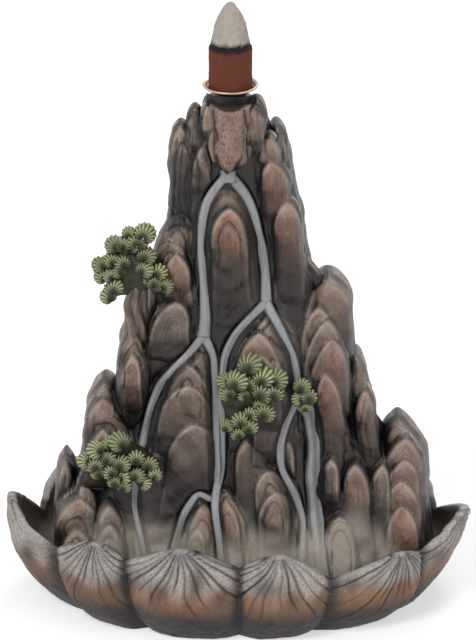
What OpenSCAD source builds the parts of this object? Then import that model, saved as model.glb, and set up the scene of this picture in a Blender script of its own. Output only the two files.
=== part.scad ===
/* [Bowl] */
// Width across the side petals
bowl_w = 143; // [130:0.5:180]
// Depth across the front and back petals
bowl_d = 95; // [88:0.5:130]
// Width of the flat foot that the casting stands on
foot_w = 114; // [106:0.5:126]
// Depth of the flat foot
foot_d = 78; // [72:0.5:84]
// Height of the tallest petal
petal_h = 31; // [24:0.5:44]
// Thickness of a petal at its rim
petal_wall = 3; // [2:0.1:4]
// How far the crease between two petals is sunk
petal_crease = 4.8; // [2:0.1:6]
// Thickness of the floor of the pool
pool_floor = 5; // [3:0.1:8]
// Least gap between the rocks and the edge of the pool's floor
pool_gap = 3.4; // [2.6:0.1:5]

/* [Mountain] */
// Height of the rock shelf that the cup stands on
shelf_h = 160.5; // [130:0.5:200]
// Width of the rocks where they stand in the pool
mountain_w = 115; // [104:0.5:122]
// Depth of the rocks where they stand in the pool
mountain_d = 68; // [62:0.5:74]
// Width of a channel that the smoke runs down
channel_w = 3.2; // [2:0.1:5]
// Thickness of the bed of a channel
channel_t = 3; // [2:0.1:5]
// Radius of one needle pad of the pines
pad_r = 3.2; // [2.4:0.1:4]

/* [Smoke passage] */
// Width of the passage from the cup to the first channel
passage_d = 3.6; // [2.5:0.1:5]
// Height of the mouth above the table
mouth_h = 144; // [136:0.5:146]

/* [Cup] */
// Width of the rim of the cup
rim_d = 16.9; // [15:0.1:22]
// Height of the rim above the shelf
rim_h = 5.6; // [5:0.1:9]
// Width of the cup's body, under the flared rim
body_d = 9.8; // [9:0.1:11]
// Height of the body, up to where the rim flares
body_h = 3.6; // [2.5:0.1:4.2]
// Thickness of the sheet at the rim
rim_t = 0.7; // [0.5:0.05:1]
// Width of the spigot under the cup
spigot_d = 6.4; // [5.6:0.1:6.8]
// Length of the spigot
spigot_h = 4; // [2:0.1:6]
// Width of the smoke hole through the cup
smoke_hole_d = 3.2; // [2:0.1:5]

/* [Cone] */
// Width of the incense cone at its base
cone_d = 13; // [11:0.1:13.5]
// Height of the part that is not burnt
cone_base_h = 13.5; // [8:0.5:20]
// Width of the ash on top of it
ash_d = 11.8; // [8:0.1:12]
// Height of the ash
ash_h = 13.5; // [8:0.5:20]
// Width of the smoke bore in its base
cone_bore_d = 2.6; // [1.5:0.1:4]
// Depth of the smoke bore
cone_bore_h = 11; // [6:0.5:16]

/* [Fits] */
// Gap round the spigot in its socket
spigot_gap = 0.2; // [0.1:0.05:0.4]
// How much deeper the socket is than the spigot
socket_extra = 0.5; // [0.3:0.1:1]

/* [Hidden] */

// The rocks, channels and pines are listed below in millimetres, as carved on a mountain of this size.
carved = [115, 68, 160.5];
fit = [mountain_w / carved.x, mountain_d / carved.y, shelf_h / carved.z];

// The cup stands a little left of the middle. The highest rock is the right cheek beside it.
cup_at = [-2.1 * fit.x, -0.5 * fit.y];
peak_h = 163.4 * fit.z;
rim_z = shelf_h + rim_h;
seat_z = rim_z - 1.2;
mouth_at = [-2.6 * fit.x, -20 * fit.y];

// Petals: angles of the creases from the front, with the tip and its height as a share of petal_h.
creases = [-114, -55, -30.5, 0.5, 25, 56, 113, 146, 180, 214, 246];
tips = [-89, -39, -15, 11, 47, 76, 130, 163, 197, 229];
tip_share = [1, 0.97, 1, 0.95, 0.8, 0.94, 0.98, 0.96, 0.98, 0.96];
crease_share = [0.56, 0.77, 0.82, 0.82, 0.65, 0.72, 0.58, 0.7, 0.75, 0.7, 0.56];
// How far each tip curls in, and how full the petal is below: the higher, the lower its belly.
tip_curl = [0, 2.5, 4, 4, 2.5, -0.5, 1, 2, 2, 1];
petal_belly = [2.8, 3.6, 4, 4, 3.4, 1.9, 2.6, 3, 3, 2.6];
crease_belly = 3;

// The body under the rocks: height, middle, half width, half depth.
core = [
    [0, 1, 52, 30],
    [36, 2, 47, 23.5],
    [56, 1, 37, 21],
    [75, 0, 30, 18.5],
    [98, 0, 25, 14.5],
    [112, -1, 18, 12.5],
    [128, -1, 15.5, 11],
    [143, -2, 12.5, 9.5],
    [160.5, -2.1, 8, 8.5]
];

// A rock's crest leans back by this much a millimetre of height.
lean = 0.128;

// Rocks that face the front: x and height of the top, x and height of the foot, half width, y of the
// crest at its foot, thickness, how many times wider the foot is. Where rocks are nested, the outer
// one comes first.
front_rocks = [
    [-8.6, 162.6, -8, 144, 2.4, -13, 9, 1.1],
    [4.9, 163.4, 4.6, 139.5, 3.6, -14, 13, 1.1],
    [-12.6, 159.5, -11.2, 126, 3.2, -11, 12, 1.1],
    [-16.2, 154, -16, 112, 4.2, -12, 14, 1.1],
    [-10.5, 150, -11, 120, 3, -14.5, 8, 1.1],
    [9.4, 152, 9.9, 134, 3.5, -11.5, 10, 1.1],
    [10.9, 145.5, 10.3, 130, 4.4, -14.5, 10, 1.2],
    [14.9, 133, 15.8, 92, 4.3, -20, 12, 1.1],
    [11.2, 151, 21.8, 90, 3, -9, 18, 1.1],
    [-2.2, 136.6, -3.2, 86, 8.8, -20.5, 12, 1],
    [-2.2, 132.4, -2.2, 93, 5.3, -22.6, 8, 1.15],
    [-18.2, 126.6, -19.2, 104, 5, -12, 16, 1.3],
    [-19, 120.5, -19.2, 98, 5.4, -15, 14, 1.3],
    [-18, 116.4, -17.9, 92, 3.9, -17.8, 8, 1.3],
    [-19.4, 102, -20.4, 78, 5.4, -21.2, 12, 1.4],
    [-30.4, 91.6, -30.8, 52, 6, -15.5, 22, 1.1],
    [-30.8, 90, -31.7, 58, 4.8, -18, 12, 1.1],
    [-32.2, 85.4, -32.5, 60, 3.3, -20, 8, 1.1],
    [-40.2, 69.6, -41, 34, 5, -14, 24, 1.5],
    [-39.4, 68, -40, 36, 6, -17.5, 16, 1.3],
    [-42.6, 61, -42.5, 38, 3.9, -20.4, 8, 1.2],
    [-53, 41.8, -53.4, 3, 3, -8, 22, 1.6],
    [-46.4, 40, -45, 3, 3.6, -18.5, 14, 1.1],
    [-49.2, 36, -48.8, 3, 6.2, -21, 18, 1.3],
    [-49.6, 28, -48.9, 3, 4.6, -23.4, 8, 1.2],
    [-38.4, 36, -38.2, 3, 4.6, -25.5, 12, 1.35],
    [-39.4, 31.5, -38.4, 3, 4.2, -28, 8, 1.2],
    [-12.2, 88, -17.6, 40, 7.8, -24.5, 12, 1.4],
    [-14.6, 83.5, -16.4, 46, 6.4, -26, 10, 1.4],
    [-14.9, 77.6, -16.2, 42, 6, -28, 10, 1.4],
    [-14.3, 66.2, -14.4, 26, 6, -32, 11, 1.2],
    [-23.5, 56, -23, 3, 7.4, -29.6, 14, 1.2],
    [-10.6, 40.6, -12.2, 3, 4.4, -35.6, 10, 1.65],
    [-12.4, 35, -12.8, 3, 3, -37, 6, 1.4],
    [-3.2, 44.4, 1.4, 3, 4.8, -35, 10, 1.25],
    [-3.4, 42.8, -0.6, 3, 3.4, -36.4, 6, 1.2],
    [8.2, 98.4, 7.6, 50, 10.6, -25.6, 12, 1],
    [7.6, 93.6, 7.4, 54, 7.8, -27.2, 8, 1.05],
    [8, 88, 8, 58, 4.5, -28.6, 7, 1.15],
    [9.4, 71.5, 9.2, 44, 4.8, -28, 9, 1.1],
    [2.9, 59.6, 9, 3, 4.5, -32.6, 10, 2],
    [10.2, 51, 12.4, 3, 4.4, -33.6, 8, 1.5],
    [10.6, 45.2, 11.4, 3, 4.2, -35.4, 9, 1.15],
    [15, 59.6, 16.4, 34, 2, -28, 8, 1.1],
    [27.6, 74, 26.4, 28, 4.8, -25.5, 12, 1.3],
    [28.1, 53.4, 27.4, 30, 3.4, -27.6, 8, 1.1],
    [27.4, 103.6, 27.6, 56, 6.2, -14, 24, 1.3],
    [26.8, 99.6, 25.8, 60, 4.6, -17, 10, 1.2],
    [28.6, 96.4, 26.8, 58, 4.9, -18.6, 10, 1.2],
    [28.9, 91, 28, 56, 5.4, -20.6, 10, 1.25],
    [28.4, 82, 28.8, 50, 3.3, -22.8, 9, 1.6],
    [35.6, 79.4, 39.4, 40, 3.2, -15, 20, 1.6],
    [38, 71.4, 41.5, 34, 3.2, -18.5, 14, 1.6],
    [36.6, 49.8, 33.6, 3, 4, -27.5, 12, 2.1],
    [31.2, 35, 31.8, 3, 4.8, -31, 8, 1.45],
    [23, 32, 23, 3, 4.2, -34.6, 8, 1.6],
    [50.8, 56.6, 51.2, 3, 7, -16.5, 26, 1.45],
    [51.3, 54.8, 49.4, 3, 5.6, -19.2, 12, 1.5],
    [50.3, 49, 49.8, 3, 4.2, -21.2, 9, 1.55],
    [50.6, 43, 49.9, 3, 4.3, -22.8, 8, 1.35],
    [51, 36, 50.3, 3, 4.3, -24.6, 8, 1.5],
    [43.6, 48, 43, 3, 3.4, -23, 10, 1.3]
];

// Rocks round the sides and the back stand in tiers: height of the tops, height of the feet, how
// many, angle of the first and the last from the front, half width, how far they stand out. Their
// feet are wider by foot_share, and no two tops are alike: they differ by up to tier_rise in height.
foot_share = 1.3;
tier_rise = 6;
tiers = [
    [42, 3, 7, 104, 258, 9.6, 6],
    [66, 20, 5, 110, 248, 9.8, 5.5],
    [88, 42, 5, 114, 246, 8, 5],
    [112, 64, 4, 110, 248, 7.4, 4.6],
    [134, 88, 3, 112, 244, 6.8, 4],
    [153, 112, 2, 138, 222, 6, 3.4]
];

// Channels, from the mouth down to the pool: x and height of the points on their way.
channels = [
    [[-2.7, 146], [-2.8, 140.5], [-8, 136.5], [-10.3, 128], [-10.6, 116], [-9.6, 104], [-9.4, 96],
     [-10.2, 90]],
    [[-2.8, 140.5], [3, 137], [6, 131], [7.2, 122], [8.4, 110], [8.6, 100]],
    [[-10.2, 90], [-13.6, 86], [-19.6, 81], [-23.6, 74], [-26.6, 66], [-28.6, 56], [-30.6, 46],
     [-31.4, 36], [-28.6, 24], [-25, 8]],
    [[-10.2, 90], [-7, 84], [-6.6, 70], [-6.4, 58], [-6.2, 46], [-7.4, 40], [-12, 44], [-16.4, 36],
     [-19.4, 24], [-20.4, 8]],
    [[8.6, 100], [3.8, 96.4], [-0.6, 91], [-4, 84], [-4.8, 74], [-4.8, 62], [-5, 48], [-7, 42],
     [-6, 34], [-4.6, 22], [-4, 8]],
    [[8.6, 100], [12.6, 94], [16.6, 86], [18.2, 78], [18, 71], [15, 66], [12.8, 58], [13.2, 50],
     [17, 42], [20.2, 32], [19.4, 20], [17.6, 8]],
    [[18, 71], [21.4, 66], [22, 56], [21.8, 46], [23.2, 36], [24.8, 24], [27, 8]]
];

// Pines: y of the needle pads, then x, y and z of the middle of the clump and its half sizes, then x
// and height of each pad.
pines = [
    [-17, [-32, -12, 110.5], [8, 6, 7.5],
     [[-27.8, 121.4], [-34.6, 120.6], [-39.4, 114.4], [-31.2, 118], [-26, 114.6], [-40.2, 111],
      [-35.2, 113.6], [-29, 110.4], [-37.6, 106.6], [-22.8, 109.8]]],
    [-29, [3.6, -24.4, 75.4], [8.4, 7.4, 10.6],
     [[3.6, 83.4], [-2.6, 80], [9.8, 80.4], [3.6, 77], [-1.2, 77.4], [8.6, 74.8], [6, 71],
      [0, 69]]],
    [-27.4, [20, -20, 75.6], [2.6, 8, 3], [[20, 76.8], [19.8, 73.4]]],
    [-25.6, [-36, -18.5, 52.4], [9.2, 9, 5.6],
     [[-37.4, 58.2], [-44, 54.6], [-38.8, 53], [-32.8, 54.4], [-35, 49], [-27.4, 51.4],
      [-30, 47.8]]]
];
// A pad stands this much further back for each millimetre that it is above the clump's middle.
pad_lean = 0.18;

// Trunk of the pine that stands clear of the rocks: x, height, radius, y.
trunk = [
    [-31.6, 86, 3.2, -7],
    [-32, 92, 2.4, -9],
    [-32.6, 98, 1.9, -11],
    [-31.4, 104, 1.9, -13],
    [-31, 109, 1.2, -13]
];

// Value of a table of rows at a height, row by row, with straight lines between.
function at_height(rows, z, i = 1) = lookup(z, [for (r = rows) [r[0], r[i]]]);

// Half depth of the body under the rocks at x and z, so -body_y is its front face.
function body_y(x, z) =
    let (u = (x - at_height(core, z, 1)) / at_height(core, z, 2))
    at_height(core, z, 3) * sqrt(max(0.04, 1 - u * u));

// A ring of n points: an ellipse with its sides filled out, half sizes w and d, at height z.
function ring(n, x, y, z, w, d) = [
    for (i = [0 : n - 1])
        let (a = (i + 0.5) * 360 / n, c = cos(a), s = sin(a))
        [x + w * sign(c) * pow(abs(c), 0.8), y + d * sign(s) * pow(abs(s), 0.8), z]
];

// A closed solid through rings of equal length, from the lowest to the highest.
module loft(rings) {
    n = len(rings[0]);
    last = len(rings) - 1;
    sides = [
        for (k = [0 : last - 1], i = [0 : n - 1])
            let (j = (i + 1) % n)
            [k * n + i, (k + 1) * n + i, (k + 1) * n + j, k * n + j]
    ];
    foot = [for (i = [0 : n - 1]) i];
    top = [for (i = [0 : n - 1]) last * n + n - 1 - i];
    polyhedron([for (r = rings) each r], concat([foot], sides, [top]), convexity = 4);
}

// Corners of a rock's ring, as shares of its half width and half depth: most are on the face that shows.
rock_corners = [[0, -1], [0.8, -0.72], [1, 0.6], [-1, 0.6], [-0.8, -0.72]];
function rock_ring(x, y, z, w, d) = [for (p = rock_corners) [x + w * p.x, y + d * p.y, z]];

// The arched top of a rock is this many times as high as its half width. Its depth is its share of the
// width to the power `edge`, so it comes forward fast below its top. Front rocks are a little wider
// than their table says.
arch_rise = 3;
edge = 0.42;
wider = 1.13;
// The top of a rock is as wide as its arch is at this share of the dome.
blunt = 0.05;

// A rock is a pointed arch over its dome and widens slowly below it.
function arch(q) = pow(1 - pow(1 - q, 2.2), 0.6);

// Where the rings of the dome are, as a share of its height below the top. The highest is at the top.
function dome_steps(w) = w > 8 ? [1, 0.5, 0.25, 0.09, 0] : [1, 0.4, 0.13, 0];

// Levels of a rock of height h and half width w, from the foot: share of its size, depth below the top.
function rock_levels(h, w, spread) =
    let (dome = min(arch_rise * w, 0.8 * h))
    concat([[spread, h]], [for (q = dome_steps(w)) [arch(max(q, blunt)), q * dome]]);

// A foot above the pool is tucked into the slope by this much.
foot_tuck = 6;
function tuck(t, foot) = foot > pool_floor && t < 0.01 ? foot_tuck : 0;

// Keeps the foot of a rock off the wall of the pool. The wall leans out, so the room grows with height.
function in_pool(p) =
    let (
        a = (foot_w / 2 - pool_gap + 0.5 * p.z) / fit.x,
        b = (foot_d / 2 - pool_gap + 0.25 * p.z) / fit.y,
        k = norm([p.x / a, p.y / b])
    )
    p.z < petal_h && k > 1 ? [p.x / k, p.y / k, p.z] : p;

// A rock of the list: a rounded finger that leans with the slope.
module front_rock(r) {
    h = r[1] - r[3];
    w = wider * r[4];
    levels = rock_levels(h, w, r[7]);
    loft([
        for (k = levels)
            let (z = r[1] - k[1], t = (z - r[3]) / h)
            [for (p = rock_ring(
                r[2] + (r[0] - r[2]) * t,
                r[5] + lean * (z - r[3]) + r[6] / 2 + tuck(t, r[3]),
                z,
                w * k[0],
                r[6] / 2 * pow(k[0], edge)
            )) in_pool(p)]
    ]);
}

// A rock of a tier, at an angle from the front round the body.
module tier_rock(angle, top, foot, w, out) {
    levels = rock_levels(top - foot, w, foot_share);
    loft([
        for (k = levels)
            let (
                z = top - k[1],
                a = at_height(core, z, 2),
                b = at_height(core, z, 3),
                yaw = atan2(b * sin(angle), a * cos(angle)),
                x = at_height(core, z, 1) + a * sin(angle),
                y = -b * cos(angle),
                sunk = tuck((z - foot) / (top - foot), foot),
                flat = rock_ring(0, sunk, z, w * k[0], out * pow(k[0], edge))
            )
            [for (p = flat)
                in_pool([x + p.x * cos(yaw) - p.y * sin(yaw), y + p.x * sin(yaw) + p.y * cos(yaw), z])]
    ]);
}

module tier(t) {
    for (i = [0 : t[2] - 1]) {
        share = i / (t[2] - 1);
        angle = t[3] + (t[4] - t[3]) * share;
        uneven = sin(137 * i + 3 * t[0]);
        tier_rock(
            angle, t[0] + tier_rise * uneven, t[1], t[5] * (1 - 0.14 * uneven), t[6] * (1 + 0.2 * uneven)
        );
    }
}

// The body that the rocks grow out of.
module mountain_body() {
    loft([for (c = core) ring(16, c[1], 0, c[0], c[2], c[3])]);
}

// One channel bed: a band that follows its points on the face of the body.
module channel(points) {
    last = len(points) - 1;
    rings = [
        for (k = [0 : last])
            let (
                p = points[k],
                q = points[min(k + 1, last)],
                o = points[max(k - 1, 0)],
                d = (q - o) / norm(q - o),
                y = -body_y(p.x, p.y) - channel_t / 2 + 0.3,
                w = channel_w / 2
            )
            [for (c = [[-1, 1], [-0.8, -0.7], [0.8, -0.7], [1, 1]])
                [p.x - d.y * c.x * w, y + c.y * channel_t / 2, p.y + d.x * c.x * w]]
    ];
    loft([for (r = rings) [for (i = [3 : -1 : 0]) r[i]]]);
}

// A lump with the middle p and the half sizes r: the dark middle of a pine or one of its needle pads.
module lump(p, r) {
    loft([
        for (k = [[-0.85, 0.5], [-0.1, 1], [0.75, 0.62]])
            ring(6, p.x, p.y, p.z + k[0] * r.z, r.x * k[1], r.y * k[1])
    ]);
}

module pine(p) {
    lump(p[1], p[2]);
    for (i = [0 : len(p[3]) - 1])
        lump([p[3][i].x, p[0] + pad_lean * (p[3][i].y - p[1].z), p[3][i].y], [pad_r, 0.9 * pad_r, pad_r]);
}

module pine_trunk() {
    loft([for (t = trunk) ring(6, t[0], t[3], t[1], t[2], t[2])]);
}

// The pointed rock with the mouth of the passage behind its tip, and the block behind it.
module spout_rock() {
    loft([
        ring(8, -2.4, -8, 138, 5, 5),
        ring(8, -2.4, -7.6, 146, 7, 6),
        ring(8, -2.2, -6, 154, 7.4, 6.6),
        ring(8, -2.1, -4.4, 160.5, 7.2, 7)
    ]);
    loft([
        ring(8, -2.8, -13.6, 141.6, 0.5, 1),
        ring(8, -2.8, -13, 143.4, 2.4, 3),
        ring(8, -2.6, -12, 147, 4.4, 5.4),
        ring(8, -2.2, -10.6, 153, 4.5, 5.6),
        ring(8, -2.1, -8.4, 160.5, 4.3, 5.6)
    ]);
}

module mountain() {
    scale(fit) {
        mountain_body();
        spout_rock();
        for (r = front_rocks) front_rock(r);
        for (t = tiers) tier(t);
        for (c = channels) channel(c);
        for (p = pines) pine(p);
        pine_trunk();
    }
}

// Petals. An angle from the front belongs to the petal between its two creases.
function petal_share(u) = 1 - pow(abs(u), 1.7);

function petal_columns() = [
    for (i = [0 : len(tips) - 1])
        each concat(
            [[creases[i], 1, crease_share[i], i]],
            [for (s = [0.18, 0.58])
                let (u = 1 - s)
                [creases[i] + (tips[i] - creases[i]) * s, u,
                 crease_share[i] + (tip_share[i] - crease_share[i]) * petal_share(u), i]],
            [[tips[i], 0, tip_share[i], i]],
            [for (s = [0.42, 0.82])
                [tips[i] + (creases[i + 1] - tips[i]) * s, s,
                 crease_share[i + 1] + (tip_share[i] - crease_share[i + 1]) * petal_share(s), i]]
        )
];

// How much of the petal's own shape a column has: all at its tip, none at its creases.
function own(c) = 1 - c[1] * c[1];

// Point of the bowl in a column: share of the way out from foot to rim, height, moved in by `inset`.
function bowl_point(c, out, z, inset) =
    let (
        a = foot_w / 2 + (bowl_w - foot_w) / 2 * out - inset,
        b = foot_d / 2 + (bowl_d - foot_d) / 2 * out - inset
    )
    [a * sin(c[0]), -b * cos(c[0]), z];

// Outer face of the bowl at the share t of a petal's height: it flares, then the tip curls in.
function petal_point(c, t) =
    let (
        belly = crease_belly + (petal_belly[c[3]] - crease_belly) * own(c),
        sunk = petal_crease * pow(c[1], 3) * (0.75 + 0.25 * sin(180 * t))
            + tip_curl[c[3]] * own(c) * pow(t, 4)
    )
    bowl_point(c, 1 - pow(1 - t, belly), petal_h * c[2] * t, sunk);

module bowl() {
    columns = petal_columns();
    lip_step = 0.5;
    rows = concat(
        [for (t = [0, 0.1, 0.26, 0.48, 0.76, 1]) [for (c = columns) petal_point(c, t)]],
        [[for (c = columns)
            let (sunk = tip_curl[c[3]] * own(c) + petal_wall + petal_crease * 0.55 * pow(c[1], 3))
            bowl_point(c, 1, petal_h * c[2] - lip_step, sunk)]],
        [[for (c = columns)
            let (sunk = petal_wall + 2.6 + petal_crease * 0.3 * pow(c[1], 3))
            bowl_point(c, 1, petal_h * c[2] * 0.55, sunk)]],
        [[for (c = columns) bowl_point(c, 0, pool_floor, -1)]]
    );
    n = len(columns);
    last = len(rows) - 1;
    sides = [
        for (k = [0 : last - 1], i = [0 : n - 1])
            let (j = (i + 1) % n)
            [k * n + i, (k + 1) * n + i, (k + 1) * n + j, k * n + j]
    ];
    polyhedron(
        [for (r = rows) each r],
        concat([[for (i = [0 : n - 1]) i]], sides, [[for (i = [0 : n - 1]) last * n + n - 1 - i]]),
        convexity = 6
    );
}

// The socket and the passage, all cut from the same centre as the cup.
module smoke_passage() {
    reach = norm([mouth_at.x - cup_at.x, mouth_at.y - cup_at.y]);
    translate([cup_at.x, cup_at.y, shelf_h])
        cylinder(d = body_d + 2 * spigot_gap, h = rim_h, $fn = 64);
    translate([cup_at.x, cup_at.y, shelf_h - spigot_h - socket_extra])
        cylinder(d = spigot_d + 2 * spigot_gap, h = spigot_h + socket_extra + 1, $fn = 64);
    translate([cup_at.x, cup_at.y, mouth_h])
        cylinder(d = passage_d, h = shelf_h - mouth_h, $fn = 48);
    translate([cup_at.x, cup_at.y, mouth_h + passage_d / 2])
        rotate([96, 0, atan2(mouth_at.x - cup_at.x, cup_at.y - mouth_at.y)])
            cylinder(d = passage_d, h = reach, $fn = 48);
}

module burner_casting() {
    color("#5a4a42")
    difference() {
        // The whole carving is one skin, drawn up to peak_h.
        resize([0, 0, peak_h]) {
            bowl();
            mountain();
        }
        smoke_passage();
    }
}

module cone_cup() {
    r = rim_d / 2;
    color("#b08a4e")
    translate([cup_at.x, cup_at.y, shelf_h])
        rotate_extrude($fn = 96)
            polygon([
                [smoke_hole_d / 2, -spigot_h],
                [spigot_d / 2, -spigot_h],
                [spigot_d / 2, 0],
                [body_d / 2 - 0.8, 0],
                [body_d / 2, body_h],
                [r, rim_h - rim_t],
                [r, rim_h],
                [r - rim_t, rim_h],
                [cone_d / 2 + 0.4, seat_z - shelf_h],
                [smoke_hole_d / 2, seat_z - shelf_h]
            ]);
}

module incense_cone() {
    color("#6b3a2c")
    translate([cup_at.x, cup_at.y, seat_z])
        difference() {
            rotate_extrude($fn = 96)
                polygon(concat(
                    [[0, 0], [cone_d / 2, 0], [cone_d / 2, cone_base_h]],
                    [for (t = [0, 0.15, 0.3, 0.45, 0.6, 0.75, 0.87, 0.95, 1])
                        [ash_d / 2 * pow(1 - pow(t, 1.7), 0.62), cone_base_h + ash_h * t]]
                ));
            translate([0, 0, -1])
                cylinder(d = cone_bore_d, h = cone_bore_h + 1, $fn = 48);
        }
}

burner_casting();
cone_cup();
incense_cone();
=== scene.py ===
"""Looks of the backflow incense burner.

A mountain cast in resin and painted by hand stands in a bowl of petals. A brass cup on its top holds an
incense cone. Lengths are millimetres, with x to the right, y to the back and z up, until `make_piece`
writes them as metres.
"""
import math

import bpy
import numpy as np
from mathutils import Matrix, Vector


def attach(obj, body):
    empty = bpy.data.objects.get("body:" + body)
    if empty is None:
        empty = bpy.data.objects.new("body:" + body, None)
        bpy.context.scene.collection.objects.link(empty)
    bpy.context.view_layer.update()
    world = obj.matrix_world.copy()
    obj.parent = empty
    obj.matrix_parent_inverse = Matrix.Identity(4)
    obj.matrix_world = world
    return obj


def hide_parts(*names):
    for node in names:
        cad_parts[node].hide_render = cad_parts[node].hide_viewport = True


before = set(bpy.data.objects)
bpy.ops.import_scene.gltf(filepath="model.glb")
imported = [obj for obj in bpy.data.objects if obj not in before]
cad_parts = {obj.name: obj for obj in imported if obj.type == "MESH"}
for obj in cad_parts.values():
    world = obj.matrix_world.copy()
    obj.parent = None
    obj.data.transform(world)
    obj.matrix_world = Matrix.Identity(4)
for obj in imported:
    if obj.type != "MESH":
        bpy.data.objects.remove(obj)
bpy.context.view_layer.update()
scene = bpy.context.scene
TURN = 2 * math.pi

# Sizes, as in the part's source.
BOWL_W, BOWL_D, FOOT_W, FOOT_D = 143.0, 95.0, 114.0, 78.0
PETAL_H, PETAL_WALL, PETAL_CREASE, POOL_FLOOR, POOL_GAP = 31.0, 3.0, 4.8, 5.0, 3.4
SHELF_H = 160.5
# Top of the mouth of the smoke passage, under the spout.
MOUTH_Z = 142
CUP_AT = (-2.1, -0.5)
RIM_R, RIM_H, CUP_R, CUP_H = 8.45, 5.6, 4.9, 3.6
SEAT_Z = SHELF_H + RIM_H - 1.2
CONE_R, CONE_BASE_H, ASH_R, ASH_H = 6.5, 13.5, 5.9, 13.5
LEAN = 0.128
# How fast a rock comes forward below its top: its depth is its share of the width to this power.
EDGE = 0.42
# Height of the arched top as a multiple of the half width, and how much wider the rocks are than their
# tables say.
ARCH, WIDER = 2.2, 1.13

# Petals: creases and tips by their angle from the front in degrees, heights as shares of PETAL_H, and how
# much copper paint each petal carries.
CREASES = np.array([-114, -55, -30.5, 0.5, 25, 56, 113, 146, 180, 214, 246.0])
TIPS = np.array([-89, -39, -15, 11, 47, 76, 130, 163, 197, 229.0])
TIP_SHARE = np.array([1, 0.97, 1, 0.95, 0.8, 0.94, 0.98, 0.96, 0.98, 0.96])
CREASE_SHARE = np.array([0.56, 0.77, 0.82, 0.82, 0.65, 0.72, 0.58, 0.7, 0.75, 0.7, 0.56])
# How far each tip curls in, in mm, and how full the petal is below: the higher, the lower its belly.
TIP_CURL = np.array([0, 2.5, 4, 4, 2.5, -0.5, 1, 2, 2, 1.0])
PETAL_BELLY = np.array([2.8, 3.6, 4, 4, 3.4, 1.9, 2.6, 3, 3, 2.6])
PETAL_COPPER = np.array([0.5, 0.6, 0.8, 0.9, 1.0, 0.6, 0.6, 0.7, 0.6, 0.7])

# The body under the rocks: height, middle, half width, half depth.
CORE = np.array([
    (0, 1, 52, 30), (36, 2, 47, 23.5), (56, 1, 37, 21), (75, 0, 30, 18.5), (98, 0, 25, 14.5),
    (112, -1, 18, 12.5), (128, -1, 15.5, 11), (143, -2, 12.5, 9.5), (160.5, -2.1, 8, 8.5)])

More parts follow.
